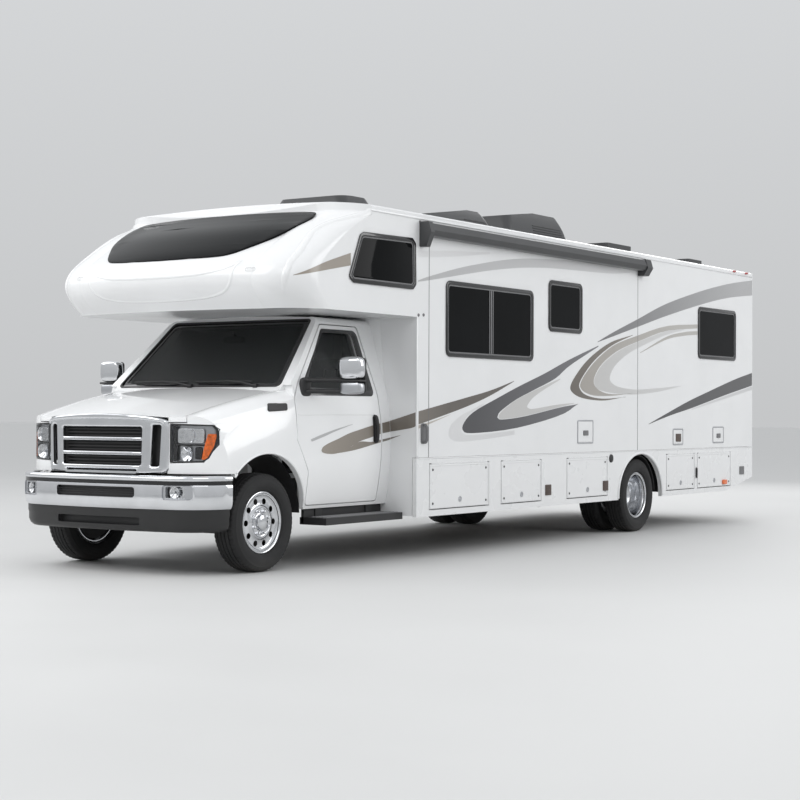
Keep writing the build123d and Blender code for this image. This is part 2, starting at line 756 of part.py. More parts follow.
# Front clip
def clip_solid(inset):
    """Lofted nose volume, inset from its outer skin, with its face rounded in plan."""
    bend_out, bend_up, plan_rear = 26, 16, at(600)
    nose, middle = (640, at(-682 + inset)), (0, at(-716 + inset))
    corner, flank = (905 - inset * 0.7, at(-560 + inset * 0.7)), (1030 - inset, at(-330))
    plan_bottom, plan_height = cab_sill - 50, 1200
    with BuildPart(mode=Mode.PRIVATE) as clip:
        for s, sill, side, shoulder, edge, shoulder_z, edge_z, crown in clip_table:
            low, wide = (sill - inset, cab_sill), (side - inset, clip_bulge_z)
            high = (shoulder - inset, shoulder_z)
            bend = ((shoulder + edge) / 2 + bend_out - inset, (shoulder_z + edge_z) / 2 + bend_up - inset)
            rim = (edge - inset, edge_z - inset)
            with BuildSketch(Plane.XZ.offset(-at(s))):
                with BuildLine():
                    for d in (1, -1):
                        a, b, c, e, f = [(d * x, z) for x, z in (low, wide, high, bend, rim)]
                        ThreePointArc(a, b, c)
                        ThreePointArc(c, e, f)
                    ThreePointArc(rim, (0, crown - inset), (-rim[0], rim[1]))
                    Line((-low[0], low[1]), low)
                make_face()
        loft()
        with BuildSketch(Plane.XY.offset(plan_bottom)):
            with BuildLine():
                ThreePointArc((-nose[0], nose[1]), middle, nose)
                for d in (1, -1):
                    ThreePointArc((d * nose[0], nose[1]), (d * corner[0], corner[1]),
                                  (d * flank[0], flank[1]))
                    Line((d * flank[0], flank[1]), (d * flank[0], plan_rear))
                Line((-flank[0], plan_rear), (flank[0], plan_rear))
            make_face()
        extrude(amount=plan_height, mode=Mode.INTERSECT)
    return clip.part


def build_front_clip():
    ahead, behind, high = -900, -400, 1700
    shell = cut(clip_solid(0), clip_solid(clip_wall))
    hood_plan = [(-hood_half_front, ahead), (hood_half_front, ahead), (hood_half_rear, hood_rear),
                 (-hood_half_rear, hood_rear)]
    barrel_starts, barrel_length, barrel_lap = (-630, 570), 60, 0.8
    with BuildPart() as hood:
        add(common(shell, prism_xy(hood_plan, hood_lip, high)))
        add(box_between((-grille_half - panel_gap, ahead, 0),
                        (grille_half + panel_gap, behind, grille_top + panel_gap)),
            mode=Mode.SUBTRACT)
        for x in barrel_starts:
            y, z = at(hood_hinge[0]), hood_hinge[1]
            add(rod((x, y, z), (x + barrel_length, y, z), hood_hinge[0] - hood_rear + barrel_lap))
    finish(hood.part, "hood")
    arch_from, inner_half, lamp_gap, wing_lift = 560, 882, 0.5, 12
    with BuildPart() as wings:
        add(common(shell, prism_yz(wing_outline, -cab_reach, cab_reach)))
        add(prism_xy(grown(hood_plan, panel_gap), hood_lip - panel_gap, high), mode=Mode.SUBTRACT)
        add(box_between((-grille_half, ahead, 0), (grille_half, coach_front, high)), mode=Mode.SUBTRACT)
        add(box_between((-inner_half, hood_rear, 0), (inner_half, coach_front, high)), mode=Mode.SUBTRACT)
        add(box_between((-cab_reach, ahead, 0), (cab_reach, front_arch_lead, bumper_top + wing_lift)),
            mode=Mode.SUBTRACT)
        for side in (1, -1):
            add(arch_cylinder(side, 0, front_arch_z, front_arch_radius, arch_from, cab_reach),
                mode=Mode.SUBTRACT)
            lamp_hole = [(side * x, z) for x, z in grown(lamp_outline, lamp_gap)]
            add(prism_xz(lamp_hole, ahead, behind), mode=Mode.SUBTRACT)
    finish(wings.part, "front_wings")
    with BuildPart() as lamps:
        for side in (1, -1):
            add(common(shell, prism_xz([(side * x, z) for x, z in lamp_outline], ahead, behind)))
    finish(lamps.part, "headlamps")
    build_grille(shell, ahead, behind)


def build_grille(shell, ahead, behind):
    """Grille face with rounded openings: three wide ones between thin bars, one at each side, one below."""
    slot_half, slot_radius = 452, 14
    slot_heights = ((800, 894), (921, 1014), (1041, 1135))
    side_slot, side_heights = (488, 556), (820, 1120)
    low_half, low_heights, low_radius = 400, (774, 786), 5
    edge = grille_half - seat_gap
    with BuildPart() as grille:
        add(common(shell, box_between((-edge, ahead, grille_bottom), (edge, behind, grille_top))))
        for low, high in slot_heights:
            slot = prism_xz(rectangle((-slot_half, low), (slot_half, high)), ahead, behind, slot_radius)
            add(slot, mode=Mode.SUBTRACT)
        for side in (1, -1):
            x_low, x_high = sided(side, *side_slot)
            slot = prism_xz(rectangle((x_low, side_heights[0]), (x_high, side_heights[1])),
                            ahead, behind, slot_radius)
            add(slot, mode=Mode.SUBTRACT)
        slot = prism_xz(rectangle((-low_half, low_heights[0]), (low_half, low_heights[1])),
                        ahead, behind, low_radius)
        add(slot, mode=Mode.SUBTRACT)
    finish(grille.part, "grille")


def bumper_plan(inset, height):
    """Bumper plan at a height: nose arc, two corner arcs and a straight back."""
    nose, middle = (700, at(-792 + inset)), (0, at(-front_overhang + inset))
    corner, end = (928 - inset * 0.7, at(-655 + inset * 0.7)), (1018 - inset, at(-432))
    with BuildSketch(Plane.XY.offset(height), mode=Mode.PRIVATE) as plan:
        with BuildLine():
            ThreePointArc((-nose[0], nose[1]), middle, nose)
            for d in (1, -1):
                ThreePointArc((d * nose[0], nose[1]), (d * corner[0], corner[1]), (d * end[0], end[1]))
            Line(end, (-end[0], end[1]))
        make_face()
    return plan.sketch


def bumper_core(inset, bottom, top):
    """Upright solid of the bumper plan, drawn in by inset."""
    with BuildPart(mode=Mode.PRIVATE) as core:
        extrude(bumper_plan(inset, bottom), amount=top - bottom, dir=(0, 0, 1))
    return core.part


def build_bumper():
    """Pressed bumper with a rolled top edge and lamp pockets, and the valance under it."""
    bumper_wall, pocket_depth, ahead, behind = 60, 28, -1000, -500
    slot_low, slot_high, slot_radius = (-400, 586), (400, 666), 24
    pocket, pocket_heights, pocket_radius = (600, 745), (576, 660), 16
    bracket_from, bracket_bottom, bracket_top = -770, 545, 680
    with BuildPart() as bumper:
        loft(sections=[bumper_plan(inset, height) for height, inset in bumper_face], ruled=True)
        add(bumper_core(bumper_wall, bumper_bottom, bumper_top), mode=Mode.SUBTRACT)
        add(prism_xz(rectangle(slot_low, slot_high), ahead, behind, slot_radius), mode=Mode.SUBTRACT)
        for side in (1, -1):
            x_low, x_high = sided(side, *pocket)
            tool = prism_xz(rectangle((x_low, pocket_heights[0]), (x_high, pocket_heights[1])),
                            ahead, behind, pocket_radius)
            add(cut(tool, bumper_core(pocket_depth, bumper_bottom, bumper_top)), mode=Mode.SUBTRACT)
            x = side * rail_x
            add(box_between((x - rail_width / 2, bracket_from, bracket_bottom),
                            (x + rail_width / 2, rail_front, bracket_top)))
    finish(bumper.part, "front_bumper")
    valance_inset, valance_wall = 28, 30
    slot_low, slot_high, slot_radius = (-420, 375), (420, 440), 12
    with BuildPart() as valance:
        add(bumper_core(valance_inset, valance_bottom, bumper_bottom))
        add(bumper_core(valance_inset + valance_wall, valance_bottom, bumper_bottom), mode=Mode.SUBTRACT)
        add(prism_xz(rectangle(slot_low, slot_high), ahead, behind, slot_radius), mode=Mode.SUBTRACT)
    finish(valance.part, "bumper_valance")


def build_liners():
    """Wheel arch liners, front pair and rear pair."""
    front_wall, front_to = 8, 912
    rear_inner, rear_outer, rear_from = 412, floor_bottom - hub_z, 690
    cut_half, cut_lift = 700, 40
    # Columns: station, centre height, inner radius, outer radius, inner x, outer x
    rows = [
        (0, front_arch_z, liner_radius - front_wall, liner_radius, liner_x_from, front_to),
        (wheelbase, hub_z, rear_inner, rear_outer, rear_from, coach_half_width - skirt_wall),
    ]
    with BuildPart() as liners:
        for side in (1, -1):
            for station, height, inner, outer, x_from, x_to in rows:
                hollow = arch_cylinder(side, station, height, inner, x_from - slack, x_to + slack)
                lower = side_box(side, (x_from - slack, station - cut_half, -cut_half),
                                 (x_to + slack, station + cut_half, height + cut_lift))
                add(cut(arch_cylinder(side, station, height, outer, x_from, x_to), hollow, lower))
    finish(liners.part, "wheel_liners")


def steering_ring(centre, along):
    """Rim, boss and two spokes of the steering wheel, square to its column."""
    ring_radius, ring_tube, boss_radius, boss_length = 192, 15, 58, 30
    spoke_width, spoke_thickness = 44, 16
    with BuildPart(Plane(origin=centre, z_dir=along), mode=Mode.PRIVATE) as ring:
        Torus(ring_radius, ring_tube)
        Cylinder(boss_radius, boss_length)
        Box(2 * ring_radius, spoke_width, spoke_thickness)
    return ring.part


def build_interior():
    """Dashboard, steering wheel and two seats."""
    dash_half, dash_back = 900, cab_front + 50
    dash = [(dash_back, 1000), (700, 1000), (560, 1299), (500, 1325), (dash_back, 1325)]
    with BuildPart() as dashboard:
        add(prism_yz(dash, -dash_half, dash_half))
    finish(dashboard.part, "dashboard")
    wheel_x, column_foot, column_z, column_length, column_radius = -430, 630, 1149.5, 210, 32
    tilt = math.radians(25)
    along = Vector(0, math.cos(tilt), math.sin(tilt))
    foot = Vector(wheel_x, at(column_foot), column_z) + along * seat_gap
    centre = foot + along * column_length
    with BuildPart() as hand_wheel:
        add(rod(tuple(foot), tuple(centre), column_radius))
        add(steering_ring(centre, along))
    finish(hand_wheel.part, "steering_wheel")
    seat_x, seat_half, seat_radius = 450, 240, 28
    seat_side = [(1020, 1050), (1480, 1030), (1560, 1040), (1640, 1690), (1560, 1710), (1470, 1190),
                 (1020, 1180)]
    pedestal_half, pedestal_from, pedestal_to, pedestal_top = 190, 1080, 1440, 1045
    with BuildPart() as seats:
        for x in (-seat_x, seat_x):
            add(prism_yz(seat_side, x - seat_half, x + seat_half, seat_radius))
            add(box_between((x - pedestal_half, pedestal_from, cab_floor_top),
                            (x + pedestal_half, pedestal_to, pedestal_top)))
    finish(seats.part, "cab_seats")


def build_steps():
    """Running boards under the cab doors, on two brackets each."""
    board_low, board_high = (890, 560, 335), (1150, 1640, 392)
    bracket_x, bracket_stations, bracket_length = (892, 940), (700, 1400), 90
    with BuildPart() as steps:
        for side in (1, -1):
            add(side_box(side, board_low, board_high))
            for s in bracket_stations:
                add(side_box(side, (bracket_x[0], s, board_high[2]),
                             (bracket_x[1], s + bracket_length, cab_sill)))
    finish(steps.part, "cab_steps")


# Coach body
def window_cut(outline, radius, side, inset, x_from, x_to):
    """Prism of a window outline shrunk by inset, between two X planes on one side."""
    least_radius = 8
    points = grown(outline, -inset) if inset else outline
    return prism_yz(points, *sided(side, x_from, x_to), max(radius - inset, least_radius))


def side_windows(side, in_cap):
    """Windows of one side: those in the nose over the cab, or those in the coach wall."""
    return [(o, r) for o, r, sides in window_table if side in sides and (o[1][0] < coach_front) == in_cap]


def nose_solid(inset, rear):
    """Cab-over volume from its nose to a rear station, inset from its outer skin."""
    x = coach_half_width - inset
    rise = (wall_top - cap_bottom) / (len(nose_table) - 1)
    half, ahead = coach_half_width + slack, -900
    with BuildPart(mode=Mode.PRIVATE) as nose:
        for level, (front, corner, corner_x, flat) in enumerate(nose_table):
            middle, c, b = (0, at(front + inset)), corner + inset, flat + inset * 0.4
            cx = corner_x - inset * 0.5
            mid_x, mid_y = cx + (x - cx) * 0.72, at(c + (b - c) * 0.3)
            with BuildSketch(Plane.XY.offset(cap_bottom + level * rise)):
                with BuildLine():
                    ThreePointArc((-cx, at(c)), middle, (cx, at(c)))
                    for d in (1, -1):
                        ThreePointArc((d * cx, at(c)), (d * mid_x, mid_y), (d * x, at(b)))
                        Line((d * x, at(b)), (d * x, at(rear)))
                    Line((-x, at(rear)), (x, at(rear)))
                make_face()
        loft()
        if inset:
            add(box_between((-half, ahead, cap_bottom + inset), (half, rear + slack, wall_top - inset)),
                mode=Mode.INTERSECT)
    return nose.part


def build_cap():
    """Moulded nose over the cab, and the pane of its front window."""
    ahead, behind, pane_gap = -700, 900, 0.5
    through_from, through_to = coach_half_width - 80, coach_half_width + 20
    shell = cut(nose_solid(0, coach_front), nose_solid(cap_wall, coach_front + 50))
    with BuildPart() as cap:
        add(shell)
        add(prism_xz(grown(cap_window, pane_gap), ahead, behind, cap_window_radius), mode=Mode.SUBTRACT)
        for side in (1, -1):
            for outline, radius in side_windows(side, True):
                add(window_cut(outline, radius, side, reveal, through_from, through_to), mode=Mode.SUBTRACT)
    finish(cap.part, "front_cap")
    return common(shell, prism_xz(cap_window, ahead, behind, cap_window_radius))


def build_walls():
    """Side walls with their window openings and panel grooves, end walls and floor."""
    inner = coach_half_width - wall
    groove, groove_depth, groove_stations = 5, 4, (coach_front + 180, wheelbase - 75)
    entry_low = (inner - slack, entry_from - panel_gap, entry_bottom - panel_gap)
    entry_high = (coach_half_width + slack, entry_to + panel_gap, entry_top + panel_gap)
    for side, name in ((1, "left"), (-1, "right")):
        with BuildPart() as panel:
            add(side_box(side, (inner, coach_front, floor_top), (coach_half_width, coach_rear, wall_top)))
            for outline, radius in side_windows(side, False):
                add(window_cut(outline, radius, side, reveal, inner - slack, coach_half_width + slack),
                    mode=Mode.SUBTRACT)
            for s in groove_stations:
                add(side_box(side, (coach_half_width - groove_depth, s, floor_top),
                             (coach_half_width + slack, s + groove, wall_top)), mode=Mode.SUBTRACT)
            if side < 0:
                add(side_box(side, entry_low, entry_high), mode=Mode.SUBTRACT)
        finish(panel.part, f"side_wall_{name}")
    aisle_half, aisle_top, tunnel_half, through = 860, 1940, 700, 100
    bulkhead_front, bulkhead_rear = coach_front - slack, coach_front + wall + slack
    with BuildPart() as ends:
        add(cut(box_between((-inner, coach_rear - wall, rear_wall_bottom), (inner, coach_rear, wall_top)),
                prism_xz(grown(rear_window, -reveal), coach_rear - through, coach_rear + through, 40)))
        add(cut(box_between((-inner, coach_front, skirt_bottom + 10),
                            (inner, coach_front + wall, cap_bottom + cap_wall)),
                box_between((-aisle_half, bulkhead_front, cab_floor_top),
                            (aisle_half, bulkhead_rear, aisle_top)),
                box_between((-tunnel_half, bulkhead_front, 0), (tunnel_half, bulkhead_rear, rail_top + 2))))
    finish(ends.part, "end_walls")
    half = coach_half_width - skirt_wall
    with BuildPart() as floor:
        add(box_between((-half, coach_front + wall, floor_bottom), (half, coach_rear - wall, floor_top)))
    finish(floor.part, "coach_floor")


def build_roof():
    """Crowned roof whose front end follows the top of the nose."""
    half, edge_drop, edge_in = coach_half_width, 12, 14
    front, corner, corner_half, flat = 690, 775, 880, 1000
    flank, crest, crest_drop, shoulder = (1150, 850), 860, 15, 60
    above = roof_crown + 55
    rake = [(front, wall_top), (coach_rear, wall_top), (coach_rear, above), (crest, above),
            (crest - shoulder, roof_crown - crest_drop)]
    with BuildPart() as roof:
        with BuildSketch(Plane.XZ.offset(-at(front))):
            with BuildLine():
                for d in (1, -1):
                    Polyline((d * half, wall_top), (d * half, roof_edge - edge_drop),
                             (d * (half - edge_in), roof_edge))
                Line((-half, wall_top), (half, wall_top))
                ThreePointArc((half - edge_in, roof_edge), (0, roof_crown), (edge_in - half, roof_edge))
            make_face()
        extrude(amount=front - coach_rear)
        add(prism_yz(rake, -half - slack, half + slack), mode=Mode.INTERSECT)
        with BuildSketch(Plane.XY.offset(wall_top - slack)):
            with BuildLine():
                ThreePointArc((-corner_half, at(corner)), (0, at(front)), (corner_half, at(corner)))
                for d in (1, -1):
                    ThreePointArc((d * corner_half, at(corner)), (d * flank[0], at(flank[1])),
                                  (d * half, at(flat)))
                    Line((d * half, at(flat)), (d * half, at(coach_rear)))
                Line((-half, at(coach_rear)), (half, at(coach_rear)))
            make_face()
        extrude(amount=above - wall_top, mode=Mode.INTERSECT)
    finish(roof.part, "roof")
    return roof.part


def build_skirts():
    """Skirts with the rear wheel arch and bay openings, the bay doors and the boxes behind them."""
    inner = coach_half_width - skirt_wall
    outline = [(coach_front, skirt_bottom), (skirt_sweep_start, skirt_bottom),
               (coach_rear, skirt_rear_bottom),
               (coach_rear, skirt_top), (coach_front, skirt_top)]
    with BuildPart() as skirts:
        for side in (1, -1):
            low, high = sided(side, inner, coach_half_width)
            add(prism_yz(outline, low, high))
            with BuildSketch(Plane.YZ.offset(low - slack)):
                with Locations((at(wheelbase), hub_z)):
                    Ellipse(rear_arch_half_length, rear_arch_height - hub_z)
                with Locations((at(wheelbase), hub_z / 2)):
                    Rectangle(2 * rear_arch_half_length, hub_z)
            extrude(amount=skirt_wall + 2 * slack, mode=Mode.SUBTRACT)
        for door, first, last, side in bay_table:
            add(side_box(side, (inner - slack, first - panel_gap, bay_bottom - panel_gap),
                         (coach_half_width + slack, last + panel_gap, bay_top + panel_gap)),
                mode=Mode.SUBTRACT)
    finish(skirts.part, "skirts")
    leaf, hinge_z = 6, bay_top + panel_gap / 2
    for door, first, last, side in bay_table:
        x, hinge_from, hinge_to = side * coach_half_width, first + bay_hinge_inset, last - bay_hinge_inset
        with BuildPart() as flap:
            add(side_box(side, (inner, first, bay_bottom), (coach_half_width, last, bay_top)))
            add(rod((x, at(hinge_from), hinge_z), (x, at(hinge_to), hinge_z), panel_gap / 2 - hinge_gap))
            add(side_box(side, (coach_half_width - leaf, hinge_from, bay_top - leaf),
                         (coach_half_width, hinge_to, hinge_z)))
        finish(flap.part, door)
    edge = panel_gap + bay_box_wall
    back = inner - bay_depth
    with BuildPart() as boxes:
        for door, first, last, side in bay_table:
            add(cut(side_box(side, (back, first - edge, bay_bottom - edge),
                             (inner, last + edge, floor_bottom)),
                    side_box(side, (back + bay_box_wall, first - panel_gap, bay_bottom - panel_gap),
                             (inner + slack, last + panel_gap, bay_top + panel_gap))))
    finish(boxes.part, "storage_boxes")


def build_windows(cap_glass):
    """Black frames proud of the walls and the tinted panes behind them."""
    face, proud = coach_half_width, coach_half_width + window_proud
    frame_radius, opening_radius, pane_radius = 60, 30, 40
    windows = [(outline, radius, side) for side in (1, -1) for in_cap in (True, False)
               for outline, radius in side_windows(side, in_cap)]
    with BuildPart() as frames:
        for outline, radius, side in windows:
            add(cut(window_cut(outline, radius, side, 0, face, proud),
                    window_cut(outline, radius, side, window_frame, face - slack, proud + slack)))
        add(cut(prism_xz(rear_window, coach_rear, coach_rear + window_proud, frame_radius),
                prism_xz(grown(rear_window, -window_frame), coach_rear - slack, coach_rear + 2 * window_proud,
                         opening_radius)))
    finish(frames.part, "window_frames")
    with BuildPart() as panes:
        for outline, radius, side in windows:
            add(window_cut(outline, radius, side, reveal, face - glass_thickness, face))
        add(prism_xz(grown(rear_window, -reveal), coach_rear - glass_thickness, coach_rear, pane_radius))
        add(cap_glass)
    finish(panes.part, "window_glass")


def build_entry_door():
    """Entry door with a framed window, hung on a hinge barrel along its front edge."""
    leaf, hinge_inset, window_radius = 6, 40, 40
    inner = coach_half_width - wall
    hinge_s = entry_from - panel_gap / 2
    hinge_low, hinge_high = entry_bottom + hinge_inset, entry_top - hinge_inset
    with BuildPart() as door:
        add(side_box(-1, (inner, entry_from, entry_bottom), (coach_half_width, entry_to, entry_top)))
        add(window_cut(entry_window, window_radius, -1, 0, inner - slack, coach_half_width + slack),
            mode=Mode.SUBTRACT)
        add(rod((-coach_half_width, at(hinge_s), hinge_low), (-coach_half_width, at(hinge_s), hinge_high),
                panel_gap / 2 - hinge_gap))
        add(side_box(-1, (coach_half_width - leaf, hinge_s, hinge_low),
                     (coach_half_width, entry_from + leaf, hinge_high)))
    finish(door.part, "entry_door")
    pane_back = coach_half_width - 2 * glass_thickness
    with BuildPart() as pane:
        add(window_cut(entry_window, window_radius, -1, 0, pane_back, pane_back + glass_thickness))
    finish(pane.part, "entry_glass")


def build_awning():
    """Awning cassette under the roof edge, with a deeper bracket at each end."""
    face, tip, corner = coach_half_width, coach_half_width + awning_depth, 12
    bracket_in, bracket_out, bracket_radius = 70, 8, 10
    cassette = [(face, wall_top - 136), (tip - 20, wall_top - 142), (tip, wall_top - 98),
                (tip - 26, wall_top - 36),
                (face, wall_top - 32)]
    # Columns: first station, last station, bottom height
    brackets = [(awning_from, awning_from + 60, wall_top - 238), (awning_to - 120, awning_to, wall_top - 196)]
    with BuildPart() as awning:
        add(prism_xz(cassette, awning_from, awning_to, corner))
        for first, last, bottom in brackets:
            outline = [(face, bottom), (face + bracket_in, bottom), (tip + bracket_out, wall_top - 118),
                       (tip - 20, wall_top - 26), (face, wall_top - 26)]
            add(prism_xz(outline, first, last, bracket_radius))
    finish(awning.part, "awning")


def roof_height(x):
    """Height of the crowned roof at a distance from the middle, by its chord."""
    return roof_edge + (roof_crown - roof_edge) * (1 - (x / coach_half_width) ** 2)


def roof_unit(first, last, half, top, draw, nose_share, crest_share):
    """Moulded roof box that draws in and climbs toward its top and sits down on the crowned roof."""
    sink, waist, corner = 30, 0.22, 90
    base = roof_height(half) - sink
    middle = at((first + last) / 2)
    with BuildPart(mode=Mode.PRIVATE) as unit:
        for share, inset in ((0, 0), (0.5, draw * waist), (1, draw)):
            with BuildSketch(Plane.XY.offset(base + (top - base) * share)):
                with Locations((0, middle)):
                    RectangleRounded(2 * (half - inset), last - first - 2 * inset, corner)
        loft()
        fall, run = (top - base) * (1 - nose_share), (last - first) * crest_share
        if fall:
            above = [(first, top - fall), (first + run, top), (first, top + slack)]
            add(prism_yz(above, -half - slack, half + slack), mode=Mode.SUBTRACT)
    return unit.part


def roof_vent(station, x, half, rise):
    """Square roof vent with rounded corners."""
    corner = 40
    with BuildPart(mode=Mode.PRIVATE) as vent:
        add(box_between((x - half, station - half, roof_edge), (x + half, station + half, roof_crown + rise)))
        fillet(vent.edges().filter_by(Axis.Z), corner)
    return vent.part


def build_roof_units(roof):
    with BuildPart() as units:
        for row in unit_table:
            add(roof_unit(*row))
        for row in vent_table:
            add(roof_vent(*row))
        add(roof, mode=Mode.SUBTRACT)
    finish(units.part, "roof_units")


def build_rear():
    """Rear bumper on the frame rails, and the tail lamps."""
    bumper_inset, bumper_low, bumper_high, bumper_radius = 90, 470, 640, 40
    bumper_half = coach_half_width - bumper_inset
    bracket_low, bracket_high, bracket_lap = 540, 620, 10
    with BuildPart() as bumper:
        add(box_between((-bumper_half, coach_rear, bumper_low), (bumper_half, rear_end, bumper_high)))
        fillet(bumper.edges().filter_by(Axis.Z).group_by(Axis.Y)[-1], bumper_radius)
        for side in (1, -1):
            x = side * rail_x
            add(box_between((x - rail_width / 2, rail_rear, bracket_low),
                            (x + rail_width / 2, coach_rear + bracket_lap, bracket_high)))
    finish(bumper.part, "rear_bumper")
    lamp_inset, lamp_width, lamp_heights, lamp_proud = 55, 175, ((800, 890), (905, 1010)), 32
    lamp_outer = coach_half_width - lamp_inset
    lamp_x = (lamp_outer - lamp_width, lamp_outer)
    with BuildPart() as lamps:
        for side in (1, -1):
            for low, high in lamp_heights:
                add(side_box(side, (lamp_x[0], coach_rear, low), (lamp_x[1], coach_rear + lamp_proud, high)))
    finish(lamps.part, "tail_lamps")


build_chassis()
build_front_axle()
build_rear_axle()
build_springs()
build_engine()
build_tanks()
build_exhaust()
for side, name in ((1, "left"), (-1, "right")):
    build_knuckle(side, f"knuckle_{name}")
    build_tyres([side * front_wheel_x], 0, f"tyre_front_{name}")
    build_tyres([side * rear_outer_wheel_x, side * (rear_outer_wheel_x - twin_spacing)], wheelbase,
                f"tyres_rear_{name}")
    build_front_rim(side, f"rim_front_{name}")
    build_rear_rims(side, f"rims_rear_{name}")
build_cab()
build_front_clip()
build_bumper()
build_liners()
build_interior()
build_steps()
build_walls()
build_skirts()
build_windows(build_cap())
build_entry_door()
build_awning()
build_roof_units(build_roof())
build_rear()
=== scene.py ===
"""Looks of the cab-over motorhome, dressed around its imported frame, in metres.

The nose points along -Y and +X is the vehicle's left side. Stations are distances behind the front axle.
"""

import math

import bmesh
import bpy
from mathutils import Matrix, Vector
from mathutils.bvhtree import BVHTree


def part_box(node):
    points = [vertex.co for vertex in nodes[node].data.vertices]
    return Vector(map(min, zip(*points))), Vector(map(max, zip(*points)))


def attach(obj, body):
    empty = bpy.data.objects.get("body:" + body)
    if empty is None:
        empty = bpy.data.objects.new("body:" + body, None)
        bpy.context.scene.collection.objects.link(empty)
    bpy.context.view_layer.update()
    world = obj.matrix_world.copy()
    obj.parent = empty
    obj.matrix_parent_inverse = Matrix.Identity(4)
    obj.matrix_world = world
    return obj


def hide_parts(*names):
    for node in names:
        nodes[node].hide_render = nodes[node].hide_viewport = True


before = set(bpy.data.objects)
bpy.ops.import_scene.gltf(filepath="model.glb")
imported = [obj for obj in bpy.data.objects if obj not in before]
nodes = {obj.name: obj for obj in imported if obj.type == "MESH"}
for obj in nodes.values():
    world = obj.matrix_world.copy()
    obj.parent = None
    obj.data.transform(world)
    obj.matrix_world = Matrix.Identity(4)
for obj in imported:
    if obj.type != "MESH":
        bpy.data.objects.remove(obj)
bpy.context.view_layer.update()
scene = bpy.context.scene
scene.view_settings.view_transform = "Standard"

# Places read from the frame
front_tyre_low, front_tyre_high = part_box("tyre_front_left")
rear_tyres_low, rear_tyres_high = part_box("tyres_rear_left")
front_axle_y = (front_tyre_low.y + front_tyre_high.y) / 2
wheelbase = (rear_tyres_low.y + rear_tyres_high.y) / 2 - front_axle_y
hub_z = (front_tyre_low.z + front_tyre_high.z) / 2
tyre_radius = (front_tyre_high.z - front_tyre_low.z) / 2
tyre_half_width = (front_tyre_high.x - front_tyre_low.x) / 2
front_wheel_x = (front_tyre_high.x + front_tyre_low.x) / 2
rear_wheel_x = rear_tyres_high.x - tyre_half_width
twin_wheel_x = rear_tyres_low.x + tyre_half_width
wall_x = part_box("side_wall_left")[1].x
coach_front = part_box("side_wall_left")[0].y - front_axle_y
coach_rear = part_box("side_wall_left")[1].y - front_axle_y
film_depth = 0.0008
film_lift = 0.0004
weld = 1e-6
film_weld = 1e-5
soft_bevel = 0.16
# Where rays start: Y ahead of the nose, X beside the left wall
ray_front = -6.0
ray_left = 1.6


def at(station):
    """Y of a station."""
    return front_axle_y + station


# Mesh helpers
def evaluated(holder, *helpers):
    """Mesh of an object after its modifiers. The object and its helpers are then removed."""
    scene.collection.objects.link(holder)
    bpy.context.view_layer.update()
    mesh = bpy.data.meshes.new_from_object(holder.evaluated_get(bpy.context.evaluated_depsgraph_get()))
    for obj in (holder, *helpers):
        bpy.data.objects.remove(obj)
    return mesh


def mesh_of(bm):
    """Mesh of a finished bmesh, with its faces turned outward."""
    bmesh.ops.recalc_face_normals(bm, faces=bm.faces)
    mesh = bpy.data.meshes.new("piece")
    bm.to_mesh(mesh)
    bm.free()
    return mesh


def joined(*meshes):
    """One mesh of several."""
    bm = bmesh.new()
    for mesh in meshes:
        bm.from_mesh(mesh)
    return mesh_of(bm)


def flipped(mesh):
    """The same mesh on the other side of the vehicle."""
    bm = bmesh.new()
    bm.from_mesh(mesh)
    bmesh.ops.scale(bm, vec=(-1, 1, 1), verts=bm.verts)
    return mesh_of(bm)


def piece(name, mesh, finish, body="coach", sharp=35, replaced=()):
    """Puts a mesh in the scene as a piece that rides on a body, and may stand for CAD nodes."""
    mesh.name = name
    mesh.materials.clear()
    mesh.materials.append(finish)
    mesh.shade_smooth()
    mesh.set_sharp_from_angle(angle=math.radians(sharp))
    obj = bpy.data.objects.new(name, mesh)
    scene.collection.objects.link(obj)
    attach(obj, body)
    if replaced:
        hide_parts(*replaced)
    return obj


def both_sides(name, mesh, finish, body="coach", sharp=35, replaced=()):
    """A left piece and its mirror image. {side} in a body or node name follows the side."""
    for side, shape in (("left", mesh), ("right", flipped(mesh))):
        hidden = [node.format(side=side) for node in replaced]
        piece(f"{name}_{side}", shape, finish, body.format(side=side), sharp, hidden)


def surface_of(*names):
    """Ray-castable surface of CAD nodes."""
    bm = bmesh.new()
    for name in names:
        bm.from_mesh(nodes[name].data)
    tree = BVHTree.FromBMesh(bm)
    bm.free()
    return tree


def on_surface(tree, start, direction):
    """Point and normal where a ray meets a surface, or the nearest point to its start where it misses."""
    spot, normal, _, _ = tree.ray_cast(Vector(start), Vector(direction))
    if spot is None:
        spot, normal, _, _ = tree.find_nearest(Vector(start))
    return spot, normal


def from_left(tree, station, z):
    """Point and normal on a surface seen straight from the left."""
    return on_surface(tree, (ray_left, at(station), z), (-1, 0, 0))


def from_front(tree, x, z):
    """Point and normal on a surface seen straight from the front."""
    return on_surface(tree, (x, ray_front, z), (0, 1, 0))


def smooth_line(points, count):
    """Points spaced along a Catmull-Rom line through given points."""
    knots = [Vector(p) for p in points]
    knots = [2 * knots[0] - knots[1], *knots, 2 * knots[-1] - knots[-2]]
    spans = len(knots) - 3
    line = []
    for step in range(count):
        place = step * spans / (count - 1)
        span = min(int(place), spans - 1)
        t = place - span
        a, b, c, d = knots[span:span + 4]
        line.append(0.5 * (2 * b + (c - a) * t + (2 * a - 5 * b + 4 * c - d) * t ** 2
                           + (3 * b - a - 3 * c + d) * t ** 3))
    return line


